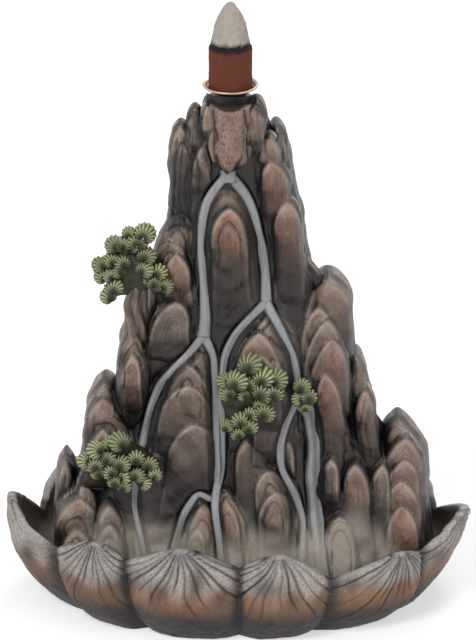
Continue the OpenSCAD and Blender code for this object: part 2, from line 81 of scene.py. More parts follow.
# Rocks that face the front: x and z of the top, x and z of the foot, half width, y of the crest at the
# foot, thickness, how many times wider the foot is; then the finish: copper, lightness, growth steps,
# flutes; last the height of the arch as a multiple of the half width.
ROCKS = [
    (-8.6, 162.6, -8, 144, 2.4, -13, 9, 1.1, 0.2, 0.9, 0, 0.5, 2.6),
    (4.9, 163.4, 4.6, 139.5, 3.6, -14, 13, 1.1, 0.3, 0.9, 0, 0.6, 2.6),
    (-12.6, 159.5, -11.2, 126, 3.2, -11, 12, 1.1, 0.1, 0.5, 0, 0.8, 2.6),
    (-16.2, 154, -16, 112, 4.2, -12, 14, 1.1, 0.15, 0.6, 1, 1, 2.6),
    (-10.5, 150, -11, 120, 3, -14.5, 8, 1.1, 0.1, 0.4, 0, 1, 2.6),
    (9.4, 152, 9.9, 134, 3.5, -11.5, 10, 1.1, 0.5, 0.8, 0, 0.3, 1.8),
    (10.9, 145.5, 11.8, 112, 4.2, -16.6, 10, 1.2, 0.7, 0.8, 0, 0.2, 1.8),
    (14.9, 133, 15.8, 92, 4.3, -20, 12, 1.1, 0.6, 0.8, 0, 0.3, 2),
    (11.2, 151, 21.8, 90, 3, -9, 18, 1.1, 0.1, 0.4, 0, 1, 2.6),
    (-2.2, 136.6, -3.2, 86, 8.8, -20.5, 12, 1, 0.35, 0.6, 1, 0.3, 1.7),
    (-2.2, 132.4, -2.2, 93, 5.3, -22.6, 8, 1.15, 0.8, 0.8, 1, 0.4, 1.9),
    (-18.2, 126.6, -19.2, 104, 5, -12, 16, 1.3, 0.2, 0.6, 1, 0.2, 2),
    (-19, 120.5, -19.6, 92, 6, -15, 14, 1.3, 0.3, 0.6, 2, 0.2, 1.9),
    (-18, 116.4, -17.9, 92, 3.9, -17.8, 8, 1.3, 0.8, 0.8, 0, 0.2, 1.9),
    (-19.8, 102, -20.8, 74, 6, -21.7, 12, 1.4, 0.1, 0.35, 0, 0.4, 1.7),
    (-30.4, 91.6, -30.8, 52, 6, -15.5, 22, 1.1, 0.1, 0.5, 2, 0.3, 2.6),
    (-30.8, 90, -31.7, 58, 4.8, -18, 12, 1.1, 0.4, 0.7, 3, 0.1, 2.6),
    (-32.2, 85.4, -32.5, 60, 3.3, -20, 8, 1.1, 0.7, 0.8, 1, 0.2, 2.6),
    (-40.2, 69.6, -41, 34, 5, -14, 24, 1.5, 0.2, 0.6, 0, 0.3, 2),
    (-39.4, 67.6, -40, 36, 7, -17.5, 16, 1.3, 0.4, 0.7, 1, 0.2, 2),
    (-42, 60.2, -42.5, 38, 4.6, -20.4, 8, 1.2, 0.2, 0.7, 0, 0.3, 2.6),
    (-53, 41.8, -53.4, 3, 3, -8, 22, 1.6, 0.1, 0.4, 0, 1, 2.6),
    (-46.4, 40, -45, 3, 3.6, -18.5, 14, 1.1, 0.1, 0.4, 0, 0.8, 2.6),
    (-49.2, 36, -48.8, 3, 6.8, -21, 18, 1.3, 0.4, 0.7, 1, 0.3, 1.7),
    (-49.6, 28, -48.9, 3, 4.6, -23.4, 8, 1.2, 0.5, 0.8, 1, 0.3, 1.7),
    (-38.4, 36, -38.2, 3, 4.6, -25.5, 12, 1.35, 0.1, 0.4, 1, 0.8, 2.6),
    (-39.4, 31.5, -38.4, 3, 4.2, -28, 8, 1.2, 0.1, 0.5, 1, 0.5, 2.6),
    (-12.2, 88, -17.6, 40, 7.8, -24.5, 12, 1.4, 0.1, 0.4, 2, 0.6, 2.1),
    (-14.6, 83.5, -16.4, 46, 7, -26, 10, 1.4, 0.15, 0.5, 1, 0.2, 1.8),
    (-15.4, 77.6, -16.2, 42, 8, -28, 10, 1.4, 0.25, 0.6, 0, 0.3, 1.7),
    (-14.3, 66.2, -14.4, 26, 7.4, -32, 11, 1.2, 0.15, 0.5, 0, 0.3, 1.7),
    (-23.5, 56, -23, 3, 7.4, -29.6, 14, 1.2, 0.05, 0.3, 0, 0.5, 1.8),
    (-10.6, 40.6, -12.2, 3, 4.4, -35.6, 10, 1.65, 0.8, 0.8, 1, 0.3, 2.2),
    (-12.4, 35, -12.8, 3, 3, -37, 6, 1.4, 0.8, 0.9, 1, 0.3, 2.6),
    (-3.2, 44.4, 1.4, 3, 4.8, -35, 10, 1.25, 0.8, 0.8, 2, 0.3, 2),
    (-3.4, 42.8, -0.6, 3, 3.4, -36.4, 6, 1.2, 0.7, 0.8, 1, 0.3, 2.6),
    (8.2, 98.4, 7.6, 50, 10.6, -25.6, 12, 1, 0.15, 0.95, 3, 0.2, 2.6),
    (7.6, 93.6, 7.4, 54, 7.8, -27.2, 8, 1.05, 0.4, 1, 1, 0.2, 2.6),
    (8, 88, 8, 58, 5.2, -28.6, 7, 1.15, 0.7, 0.9, 1, 0.2, 2.6),
    (9.4, 71.5, 9.2, 44, 4.8, -28, 9, 1.1, 0.2, 0.4, 0, 0.5, 2.6),
    (2.9, 59.6, 9, 3, 5.4, -32.6, 10, 2, 0.15, 0.5, 0, 0.4, 2.6),
    (10.2, 51, 12.4, 3, 5, -33.6, 8, 1.5, 0.15, 0.6, 1, 0.3, 2),
    (10.6, 45.2, 11.4, 3, 4.6, -35.4, 9, 1.15, 0.3, 0.7, 1, 0.2, 1.8),
    (15, 59.6, 16.4, 34, 2, -28, 8, 1.1, 0, 0.3, 0, 0.5, 2.6),
    (27.6, 74, 26.4, 28, 4.8, -25.5, 12, 1.3, 0.15, 0.6, 0, 0.6, 2.6),
    (28.1, 53.4, 27.4, 30, 3.4, -27.6, 8, 1.1, 0, 0.15, 0, 0.6, 2.6),
    (27.4, 103.6, 27.6, 56, 7, -14, 24, 1.3, 0.4, 0.8, 0, 0.2, 1.6),
    (25.6, 98, 24.6, 60, 5.8, -17, 10, 1.2, 0.2, 0.8, 0, 0.2, 2.6),
    (26.6, 94.6, 25.8, 58, 6, -18.6, 10, 1.2, 0.2, 0.8, 0, 0.2, 2.6),
    (27.6, 89.4, 26.6, 56, 6.4, -20.6, 10, 1.25, 0.6, 0.8, 0, 0.2, 2.6),
    (27.8, 79.4, 28.6, 50, 4, -22.8, 9, 1.6, 0.9, 0.8, 0, 0.4, 2.6),
    (35.6, 79.4, 39.4, 40, 3.2, -15, 20, 1.6, 0.3, 0.6, 0, 0.6, 2.6),
    (38, 71.4, 41.5, 34, 3.2, -18.5, 14, 1.6, 0.5, 0.7, 0, 0.7, 2.6),
    (36.6, 49.8, 33.6, 3, 4.8, -27.5, 12, 2.1, 0.5, 0.8, 0, 0.4, 2.6),
    (31.2, 35, 31.8, 3, 4.8, -31, 8, 1.45, 0.3, 0.6, 2, 0.2, 1.8),
    (23, 32, 23, 3, 4.6, -34.6, 8, 1.6, 0.9, 0.9, 1, 0.2, 1.7),
    (50.8, 56.6, 51.2, 3, 7, -16.5, 26, 1.45, 0.2, 0.8, 0, 0.3, 2.2),
    (51.3, 54.4, 48.6, 3, 6.8, -19.2, 12, 1.5, 0.3, 0.8, 0, 0.3, 2.2),
    (50.3, 49, 49, 3, 6, -21.2, 9, 1.55, 0.4, 0.8, 0, 0.3, 2.2),
    (50.6, 43, 49.4, 3, 6, -22.8, 8, 1.35, 0.6, 0.8, 0, 0.3, 2.2),
    (51, 36, 50.3, 3, 4.8, -24.6, 8, 1.5, 0.8, 0.9, 0, 0.3, 2.2),
    (43.6, 48, 43, 3, 3.4, -23, 10, 1.3, 0.1, 0.4, 0, 0.6, 2.6),
]

# Rocks of the sides and the back, in tiers: height of the tops and of the feet, how many, angle of the
# first and the last from the front, half width, how far they stand out.
TIERS = [
    (42, 3, 7, 104, 258, 9.6, 6), (66, 20, 5, 110, 248, 9.8, 5.5), (88, 42, 5, 114, 246, 8, 5),
    (112, 64, 4, 110, 248, 7.4, 4.6), (134, 88, 3, 112, 244, 6.8, 4), (153, 112, 2, 138, 222, 6, 3.4)]

# The pointed rock over the mouth of the smoke passage: x, y, z, half width, half depth.
SPOUT = np.array([
    (-2.9, -13.8, 141.8, 0.4, 1), (-2.9, -13.4, 143.8, 1.6, 2.6), (-2.8, -12.6, 146.2, 3.4, 4.4),
    (-2.6, -11.6, 149, 4.4, 5.6), (-2.2, -10.6, 153, 4.5, 5.7), (-2.1, -8.4, 161.7, 4.3, 5.6)])
# The fluted block behind it, under the cup.
COLLAR = np.array([
    (-2.4, -8, 138, 2, 2.6), (-2.5, -8, 142.4, 3.2, 4), (-2.4, -7.8, 145.4, 6.2, 5.4),
    (-2.3, -7.2, 149, 7.1, 6.1), (-2.2, -6, 154, 7.4, 6.6), (-2.1, -4.6, 161.8, 7.3, 7.2)])

# Smoke channels from the mouth down to the pool: x and z on the way, then the half width.
CHANNELS = [
    ([(-2.8, 143.6), (-2.8, 140.4), (-2.8, 137.6)], 1.8),
    ([(-2.8, 144), (-2.9, 140), (-4.9, 138), (-7.7, 134.6), (-9.6, 131), (-10.6, 126), (-10.8, 116),
      (-10, 104), (-9.6, 96), (-10.2, 90)], 1.4),
    ([(-2.8, 144), (-2.8, 140), (-0.9, 138), (1.9, 134.6), (4, 131), (5.4, 126.6), (6.8, 120), (8.4, 110),
      (8.6, 100)], 1.4),
    ([(-10.2, 90), (-13.6, 86), (-19.6, 81), (-23.6, 74), (-26.6, 66), (-28.6, 56), (-30.6, 46),
      (-31.4, 36), (-28.6, 24), (-25, 8)], 1.1),
    ([(-10.2, 90), (-7, 84), (-6.6, 70), (-6.4, 58), (-6.2, 46), (-7.4, 40), (-12, 44), (-16.4, 36),
      (-19.4, 24), (-20.4, 8)], 1.1),
    ([(8.6, 100), (3.8, 96.4), (-0.6, 91), (-4, 84), (-4.8, 74), (-4.8, 62), (-5, 48), (-7, 42), (-6, 34),
      (-4.6, 22), (-4, 8)], 1.2),
    ([(8.6, 100), (12.6, 94), (16.6, 86), (18.2, 78), (18, 71), (15, 66), (12.8, 58), (13.2, 50),
      (17, 42), (20.2, 32), (19.4, 20), (17.6, 8)], 1.2),
    ([(18, 71), (22, 67), (23.4, 58), (23, 46), (23.6, 36), (24.8, 24), (27, 8)], 2.3)]

# Pines: y of the needle pads, root that the pads fan out from, middle and half sizes of the clump behind
# them, painted dark as shade, then x, z and radius of each pad.
PINES = [
    (-17.5, (-31.5, 104), (-32, -12, 110.5), (8, 5, 7.5), [
        (-27.6, 123.2, 2.7), (-32.4, 123.2, 1.8), (-36.9, 120.0, 2.4), (-30.0, 120.6, 2.7),
        (-34.2, 120.0, 2.1), (-31.5, 119.3, 2.1), (-41.5, 114.2, 2.1), (-37.9, 115.4, 2.1),
        (-34.6, 114.8, 2.1), (-27.1, 116.7, 2.4), (-40.6, 110.9, 2.1), (-38.5, 111.2, 1.8),
        (-35.8, 111.9, 2.1), (-27.4, 112.9, 2.4), (-23.5, 111.9, 2.1), (-37.0, 107.4, 2.4),
        (-38.9, 105.1, 2.1), (-24.7, 108.7, 2.1), (-21.4, 108.0, 1.8), (-26.5, 109.3, 1.5)]),
    (-30.5, (4, 72), (3.8, -24, 74), (8.6, 5.5, 8.5), [
        (4.0, 85.9, 3.0), (-4.0, 81.3, 2.1), (0.1, 81.3, 3.0), (3.7, 80.3, 2.4), (7.9, 82.6, 2.7),
        (11.8, 81.6, 2.7), (-2.8, 78.0, 2.1), (1.9, 77.4, 1.8), (7.6, 78.0, 2.7), (10.9, 78.0, 2.4),
        (7.1, 74.4, 1.8), (0.8, 70.1, 2.1), (4.4, 71.5, 2.1), (8.3, 72.1, 2.4), (-2.9, 68.2, 1.8),
        (3.8, 68.2, 2.1), (0.2, 66.2, 1.8)]),
    (-28.5, (20, 72), (20, -22, 76), (2.4, 6, 3), [
        (19.4, 79.1, 2.1), (21.2, 76.1, 2.1), (18.2, 75.5, 1.8), (20.3, 73.2, 1.5)]),
    (-26.5, (-34, 46), (-36, -19.5, 52), (9, 6, 5), [
        (-36.1, 59.4, 2.7), (-43.1, 56.8, 2.4), (-38.5, 59.1, 1.8), (-46.4, 53.8, 2.1),
        (-43.1, 52.8, 2.1), (-39.2, 54.5, 2.4), (-34.9, 53.1, 2.4), (-30.7, 54.5, 2.1),
        (-38.6, 50.8, 2.1), (-42.2, 50.5, 1.8), (-34.1, 49.1, 2.1), (-30.1, 49.8, 2.1),
        (-26.5, 52.5, 2.1), (-25.0, 50.1, 1.8), (-28.0, 47.5, 2.1), (-34.1, 46.5, 1.8),
        (-37.1, 47.8, 1.8)])]
# Trunk of the pine that stands clear of the rocks: x, y, z and radius.
TRUNK = np.array([
    (-30.2, -7, 86, 4.6), (-30, -8.4, 92, 4.2), (-30.4, -10.4, 98, 3.4), (-30.4, -12.4, 104, 2.8),
    (-30.4, -13.5, 110, 2)])


# Surfaces.
def waves(points, size, seed, count=9):
    """Smooth lumps about `size` across, in -1..1: a sum of sine waves in random directions."""
    r = np.random.default_rng(seed)
    way = r.normal(size=(count, 3))
    way /= np.linalg.norm(way, axis=1)[:, None]
    way *= (TURN / (size * r.uniform(0.7, 1.6, count)))[:, None]
    return np.sin(points @ way.T + r.uniform(0, TURN, count)).sum(-1) / 3.0


def ease(t):
    """0 below 0, 1 above 1 and a smooth step between."""
    t = np.clip(t, 0, 1)
    return t * t * (3 - 2 * t)


def core_at(z):
    """Middle, half width and half depth of the body at heights z."""
    return tuple(np.interp(z, CORE[:, 0], CORE[:, k]) for k in (1, 2, 3))


def full_turn(n):
    """Even angles round a full turn."""
    return np.linspace(0, TURN, n, endpoint=False)


def shares(**paint):
    """Paints, each kept in 0..1."""
    return {k: np.clip(v, 0, 1) for k, v in paint.items()}


def spaced(x, y, z):
    """Points from their x, y and z, which spread over each other."""
    return np.stack(np.broadcast_arrays(x, y, z), -1).astype(float)


def box_ring(c, d, power):
    """Radius of a rounded box, |x| ** power + |y| ** power = 1, in the directions whose cosine and sine are
    c and d."""
    return (np.abs(c) ** power + np.abs(d) ** power) ** (-1 / power)


def rounded(line, times):
    """Points of a line, each drawn towards its two neighbours a number of times."""
    q = line.copy()
    for _ in range(times):
        q[1:-1] = 0.5 * q[1:-1] + 0.25 * (q[:-2] + q[2:])
    return q


def even_line(points, step, past):
    """Points at even spacing along a polyline of two coordinates, up to `past` beyond its length."""
    p = np.array(points, float)
    s = np.concatenate([[0], np.cumsum(np.linalg.norm(np.diff(p, axis=0), axis=1))])
    t = np.arange(0, s[-1] + past, step)
    return np.stack([np.interp(t, s, p[:, k]) for k in (0, 1)], -1)


def closed_skin(rings):
    """Quads of a closed skin: rings of one even length, counter-clockwise from above, bottom to top. Both
    ends are closed with a ladder of quads."""
    levels, n = rings.shape[:2]
    i = np.arange(n)
    j = (i + 1) % n
    k = (np.arange(levels - 1) * n)[:, None]
    side = np.stack([k + i, k + j, k + n + j, k + n + i], -1).reshape(-1, 4)
    m = np.arange(n // 2 - 1)
    ladder = np.stack([m, m + 1, n - 2 - m, n - 1 - m], -1)
    return np.concatenate([side, ladder[:, ::-1], ladder + (levels - 1) * n])


def joined(skins):
    """Points, quads and paint of one mesh from closed skins, each with what is painted on it."""
    skins = list(skins)
    quads, count = [], 0
    for rings, _ in skins:
        quads.append(closed_skin(rings) + count)
        count += rings[..., 0].size
    paint = {k: np.concatenate([np.broadcast_to(mine[k], rings.shape[:-1]).ravel() for rings, mine in skins])
             for k in skins[0][1]}
    return np.concatenate([rings.reshape(-1, 3) for rings, _ in skins]), np.concatenate(quads), paint


def brushed(p, copper, light, fine, down, inside):
    """A skin with what the brushes need: its finish, its fine relief, how far each point lies below the top and
    inside the outline, and its height."""
    return p, dict(copper=copper, light=light, fine=fine, down=down, inside=inside, tall=p[..., 2])


def linked(name, data):
    """A new object in the scene."""
    made = bpy.data.objects.new(name, data)
    scene.collection.objects.link(made)
    return made


def make_piece(name, points, quads, paint, material, slot="painted_resin"):
    """Turns points in millimetres and quads into a smooth mesh object that stands for part of the
    casting."""
    mesh = bpy.data.meshes.new(name)
    mesh.vertices.add(len(points))
    mesh.vertices.foreach_set("co", (points * 0.001).astype(np.float32).ravel())
    mesh.loops.add(quads.size)
    mesh.loops.foreach_set("vertex_index", quads.astype(np.int32).ravel())
    mesh.polygons.add(len(quads))
    mesh.polygons.foreach_set("loop_start", np.arange(0, quads.size, 4, dtype=np.int32))
    mesh.polygons.foreach_set("use_smooth", np.ones(len(quads), bool))
    mesh.update(calc_edges=True)
    mesh.validate()
    for key, values in paint.items():
        mesh.attributes.new(key, "FLOAT", "POINT").data.foreach_set("value", values.astype(np.float32))
    mesh.materials.append(material)
    piece = linked(name, mesh)
    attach(piece, "root")
    return piece


# Rocks.
# A rock's arch takes at most this share of its height, and its rows are about this far apart in mm.
DOME_MOST, ROW = 0.8, 0.9
# Powers of the outlines seen from above: rocks are rounded boxes, the body under them is rounder.
ROCK_BOX, BODY_BOX = 2.6, 2.5
# The closed rocks give the sides. Their fronts stay this far behind the carved face that is laid over them.
BEHIND = 0.7
# How far the foot of a rock that ends above the pool goes back into the slope.
TUCK = 8


def in_pool(p):
    """Keeps the feet of the rocks off the wall of the pool, which leans out: points outside an ellipse that
    grows with height are drawn in to it."""
    a = FOOT_W / 2 - POOL_GAP + 0.5 * p[..., 2]
    b = FOOT_D / 2 - POOL_GAP + 0.25 * p[..., 2]
    k = np.where(p[..., 2] < PETAL_H, np.maximum(1, np.hypot(p[..., 0] / a, p[..., 1] / b)), 1)
    out = p.copy()
    out[..., :2] /= k[..., None]
    return out


def arch(depth, dome, h, spread):
    """Share of a rock's size at a depth below its top: a pointed arch over the dome, (1 - (1 - q) ** 2.2)
    ** 0.6, and below it an even widening to `spread`."""
    share = (1 - (1 - np.clip(depth / dome, 0, 1)) ** 2.2) ** 0.6
    return share + (spread - 1) * np.clip((depth - dome) / max(h - dome, 1), 0, 1)


def rock_depths(h, dome, fewest, most):
    """Depth below the top for each row of a rock, foot first. In the dome the rows crowd to the tip as u **
    1.7."""
    rows = int(np.clip(h / ROW, fewest, most))
    over = max(10, int(rows * 0.55))
    below = np.linspace(h, dome, rows - over, endpoint=False)
    q = (1 - np.linspace(0, 1, over)) ** 1.7
    q[-1] = 0.0006
    return np.concatenate([below, dome * q])[:, None]


def ring_ways(count):
    """Directions round a rock, close together on the face that shows, and the radius of its outline."""
    s = np.linspace(-1, 1, count, endpoint=False)
    a = -math.pi / 2 + math.pi * np.sign(s) * (0.72 * np.abs(s) + 0.28 * np.abs(s) ** 3)
    c, d = np.cos(a), np.sin(a)
    return c, d, box_ring(c, d, ROCK_BOX)


def relief(points, across, q, shells, flutes, front, seed):
    """How far the carved surface stands out, in mm: lumps, growth steps that follow the outline and flutes
    that run down. `across` is the distance from the middle line as a share of the half width, `q` the share
    of the dome above."""
    rim = np.abs(across) ** 1.67 + np.where(q < 1, (1 - np.minimum(q, 1)) ** 2.2, 0)
    rim = rim + 0.05 * waves(points, 6, seed + 1)
    steps = np.zeros(rim.shape)
    fine = np.zeros(rim.shape)
    for level in np.linspace(0.36, 0.78, int(shells)):
        steps += 0.6 * ease((level - rim) / 0.04)
        fine -= 0.4 * np.exp(-((rim - level - 0.02) / 0.025) ** 2)
    run = points[..., 0] + 0.9 * waves(points * (1, 1, 0.35), 7, seed + 2)
    groove = np.abs(np.sin(math.pi * run / 1.9 + 0.6 * waves(points * (1, 1, 0.2), 5, seed + 3)))
    fine -= max(0, flutes - 0.3) * 0.6 * (1 - groove) ** 2 * ease((q - 0.12) / 0.4)
    lumps = 0.3 * waves(points, 8, seed + 4) + 0.06 * waves(points, 3.4, seed + 5)
    fine = fine + 0.03 * waves(points, 1.5, seed + 6)
    return (steps + fine) * front + lumps, fine * front


def tucked(z, z0, h, dome):
    """How far back a rock's foot goes into the slope at heights z. A foot in the pool stays where it is."""
    return TUCK * np.clip(1 - (z - z0) / h / (1 - dome / h), 0, 1) * (z0 > POOL_FLOOR)


def rock_lines(rock, z, seed):
    """For a rock of the list at heights z: its share of the half width, and x and y of its middle. It leans
    with the slope, sways a little, and the tip of its arch lies up to 0.2 of the half width beside its
    middle."""
    x1, z1, x0, z0, _, y0, thick, spread = rock[:8]
    w, h, dome = rock_size(rock)
    share = arch(z1 - z, dome, h, spread) * (1 + 0.035 * np.sin(z / 4.3 + 2 * seed))
    tip = 0.2 * math.sin(2.1 * seed) * w * ease(1 - (z1 - z) / dome)
    x = x0 + (x1 - x0) * (z - z0) / h + 0.05 * w * np.sin(z / 7 + seed) + tip
    return share, x, y0 + LEAN * (z - z0) + thick / 2 + tucked(z, z0, h, dome)


def rock_size(rock):
    """Half width, height and height of the arch of a rock of the list."""
    w, h = WIDER * rock[4], rock[1] - rock[3]
    return w, h, min(rock[-1] * w, DOME_MOST * h)


def dressed(p, depth, share, w, dome, ways, yaw, sunk, brush, seed):
    """Carves a rock's skin, turned by `yaw`, and gives what the brushes need. Its front lies `sunk`
    lower."""
    c, d, r = ways
    copper, light, shells, flutes = brush
    across = share * c * r
    q = depth / dome + 0 * across
    front = ease(0.5 - 0.9 * d)[None, :]
    out, fine = relief(p, across, q, shells, flutes, front, seed)
    out = out * ease(q / 0.06) - sunk * front
    p = p + spaced(out * (c * np.cos(yaw) - d * np.sin(yaw)), out * (c * np.sin(yaw) + d * np.cos(yaw)), 0)
    down = dome * q
    inside = np.minimum(down, w * np.maximum(share - np.abs(across), 0) + 4 * (d > 0))
    return brushed(in_pool(p), copper, light, fine, down, inside)


def front_rock(rock, seed):
    """A rock of the list: a rounded finger that leans with the slope."""
    w, h, dome = rock_size(rock)
    depth = rock_depths(h, dome, 26, 72)
    z = rock[1] - depth
    share, x, y = rock_lines(rock, z, seed)
    c, d, r = ring_ways(42)
    p = spaced(x + w * share * c * r, y + rock[6] / 2 * share ** EDGE * d * r, z)
    return dressed(p, depth, share, w, dome, (c, d, r), 0, BEHIND, rock[8:12], seed)


def tier_rocks(tier, seed):
    """Rocks of one tier, turned to face away from the axis. They differ in width, thickness and height."""
    top, foot, count, first, last, w0, out0 = tier
    for i in range(count):
        angle = math.radians(first + (last - first) * i / (count - 1))
        uneven = math.sin(math.radians(137 * i + 3 * top))
        w, stand = w0 * (1 - 0.14 * uneven), out0 * (1 + 0.2 * uneven)
        z1 = top + 6 * uneven
        h = z1 - foot
        dome = min(ARCH * w, DOME_MOST * h)
        depth = rock_depths(h, dome, 24, 60)
        z = z1 - depth
        share = arch(depth, dome, h, 1.3)
        c, d, r = ring_ways(44)
        cx, a, b = core_at(z)
        yaw = np.arctan2(b * math.sin(angle), a * math.cos(angle))
        px = w * share * c * r
        py = stand * share ** EDGE * d * r + tucked(z, foot, h, dome)
        x = cx + a * math.sin(angle) + px * np.cos(yaw) - py * np.sin(yaw)
        y = -b * math.cos(angle) + px * np.sin(yaw) + py * np.cos(yaw)
        pick = np.random.default_rng(seed + i)
        shells, flutes = pick.integers(0, 3), pick.uniform(0.2, 0.8)
        brush = (pick.uniform(0.1, 0.7), pick.uniform(0.5, 0.85), shells, flutes)
        yield dressed(spaced(x, y, z), depth, share, w, dome, (c, d, r), yaw, 0, brush, seed + i)


def body_skin():
    """The body that the rocks grow out of: rounded ellipses through the rows of CORE."""
    z = np.linspace(0.5, SHELF_H, 110)[:, None]
    cx, a, b = core_at(z)
    g = full_turn(96)
    c, d = np.cos(g), np.sin(g)
    r = box_ring(c, d, BODY_BOX)
    p = spaced(cx + a * c * r, b * d * r, z)
    out = 0.4 * waves(p, 9, 3) + 0.2 * waves(p, 3, 4) - 0.3
    p = p + spaced(out * c, out * d, 0)
    return brushed(in_pool(p), 0.05, 0.35, 0, 20, 9)


def block_skin(rows, pitted, light, copper, seed):
    """A block with a level top: rounded boxes through rows of x, y, z, half width and half depth. It is
    pitted, or else fluted from top to bottom."""
    wall = 58
    shrink = np.array([0.93, 0.85, 0.7, 0.5, 0.3, 0.12])
    z = np.linspace(rows[0, 2], rows[-1, 2], wall)
    x, y, w, b = (np.interp(z, rows[:, 2], rows[:, k]) for k in (0, 1, 3, 4))
    z, x, y = (np.concatenate([v, np.full(len(shrink), v[-1])])[:, None] for v in (z, x, y))
    w, b = (np.concatenate([v, v[-1] * shrink])[:, None] for v in (w, b))
    z[wall:] += 0.15
    c, d, r = ring_ways(64)
    p = spaced(x + w * c * r, y + b * d * r, z)
    top = ease((rows[-1, 2] - z) / 0.8) * (np.arange(len(z)) < wall)[:, None]
    if pitted:
        fine = -0.16 * np.maximum(0, waves(p, 1.1, seed) - 0.1)
        fine -= 0.12 * np.maximum(0, waves(p, 0.7, seed + 1) - 0.2)
    else:
        groove = np.abs(np.sin(math.pi * (p[..., 0] + 0.5 * waves(p * (1, 1, 0.3), 6, seed)) / 2.3))
        fine = -0.9 * (1 - groove) ** 2
    fine = fine * top
    out = fine + 0.25 * waves(p, 5, seed + 2) * top - 0.4 * (1 - top)
    p = p + spaced(out * c, out * d, 0)
    return brushed(p, copper, light, fine, 3, 5)


# Every rock of the mountain, with what is painted on it, before the channels are carved.
rocks = [front_rock(r, 17 * k + 5) for k, r in enumerate(ROCKS)]
sides = [s for k, t in enumerate(TIERS) for s in tier_rocks(t, 400 + 31 * k)]
spout = [block_skin(SPOUT, True, 1.0, 0.5, 11), block_skin(COLLAR, False, 0.8, 0.2, 21)]
mountain = rocks + spout + [body_skin()] + sides


# Maps of the relief, to carve and to paint by.
def smooth(field, size, wrap=False):
    """A map blurred over about `size` cells each way, by three passes of a running mean."""
    n = max(1, int(round(size)))
    for _ in range(3):
        for axis in (0, 1):
            mode = "wrap" if wrap and axis == 1 else "edge"
            pad = [(0, 0), (0, 0)]
            pad[axis] = (n, n)
            total = np.cumsum(np.pad(field, pad, mode), axis=axis)
            high = np.take(total, range(2 * n, total.shape[axis]), axis)
            low = np.take(total, range(0, total.shape[axis] - 2 * n), axis)
            field = (high - low) / (2 * n)
    return field


def spread_into(field, cells_far):
    """A map whose empty cells, at minus infinity, take the highest of their neighbours, some cells far."""
    for _ in range(cells_far):
        near = np.max([np.roll(field, s, axis) for s in (-1, 1) for axis in (0, 1)], axis=0)
        field = np.where(np.isinf(field), near, field)
    return field


def highest(rows, cols, values, shape):
    """The highest value that falls in each cell of a map; empty cells take that of their neighbours."""
    field = np.full(shape, -np.inf)
    np.maximum.at(field, (np.clip(rows, 0, shape[0] - 1), np.clip(cols, 0, shape[1] - 1)), values)
    field = spread_into(field, 12)
    return np.where(np.isinf(field), np.min(field[~np.isinf(field)]), field)


def sample(field, rows, cols):
    """Values of a map between its cells."""
    r = np.clip(rows, 0, field.shape[0] - 1.001)
    c = np.clip(cols, 0, field.shape[1] - 1.001)
    i, j = r.astype(int), c.astype(int)
    u, v = r - i, c - j
    left = field[i, j] * (1 - u) + field[i + 1, j] * u
    right = field[i, j + 1] * (1 - u) + field[i + 1, j + 1] * u
    return left * (1 - v) + right * v


# How far the bed of a channel lies behind the average face, how steeply its banks rise, how wide the dark wash
# and painted shade on them reach, and how far from a channel the face is carved, in mm.
BED, BANK, BANK_WIDE, REACH = 1.3, 1.3, 2.2, 5
# The front map: size of a cell in mm, x of its first column, and how many columns and rows it has.
CELL = 0.36
X0, WIDE, TALL = -64.0, 364, 458
grid_z, grid_x = np.mgrid[0:TALL, 0:WIDE] * CELL
grid_x += X0
# How far the outline of a nested rock stands out of what it lies on, in mm.
LIFT = 1.2
# How far forward the map lies where there is no rock.
EMPTY = -12.0


def cells(x, z):
    """Row and column of the front map for points at x and z."""
    return z / CELL, (x - X0) / CELL


def face_of(rock, seed):
    """A rock over its window of the front map: how far forward its plane and its own surface lie, how far
    inside its outline a cell is in mm, how much of its foot is there, and what the brushes need."""
    _, z1, _, z0, _, _, thick, _, copper, light, shells, flutes, _ = rock
    w, h, dome = rock_size(rock)
    i0, i1 = int(z0 / CELL) + 1, int(z1 / CELL) + 1
    share, middle, y = rock_lines(rock, grid_z[i0:i1, :1], seed)
    half = np.maximum(w * share - 0.15, 0.05)
    j0, j1 = int(((middle - half).min() - X0) / CELL), int(((middle + half).max() - X0) / CELL) + 2
    x, z = grid_x[i0:i1, j0:j1], grid_z[i0:i1, j0:j1]
    u = (x - middle) / half
    inside = (1 - np.abs(u)) * half / np.sqrt(1 + np.gradient(half, CELL, axis=0) ** 2)
    deep = thick / 2 * np.minimum(share, 1.3) ** EDGE
    own = deep * (1 - np.minimum(np.abs(u), 1) ** 2.8) ** (1 / 2.8) - y
    at = np.stack([x, -own, z], -1)
    out, fine = relief(at, share * u, (z1 - z) / dome, shells, flutes, ease(inside / 0.8), seed)
    # Fine lines that follow the outline, 1.3 mm apart and 0.1 mm deep, round the upper part of the rock.
    lines = (0.5 + 0.5 * np.cos(TURN * (inside + 0.3 * waves(at, 5, seed + 9)) / 1.3)) ** 3
    lines = 0.1 * lines * ease((inside - 1) / 0.8) * ease((8 - inside) / 4) * ease((22 - z1 + z) / 12)
    foot = ease((z - z0) / min(11, 0.45 * h)) if z0 > POOL_FLOOR else 1
    paint = dict(copper=copper, light=light, fine=fine - lines, down=z1 - z, inside=np.clip(inside, 0, 9))
    own = own + (out - lines) * ease(inside / 0.5)
    return (slice(i0, i1), slice(j0, j1)), deep - y, own, inside, foot, paint


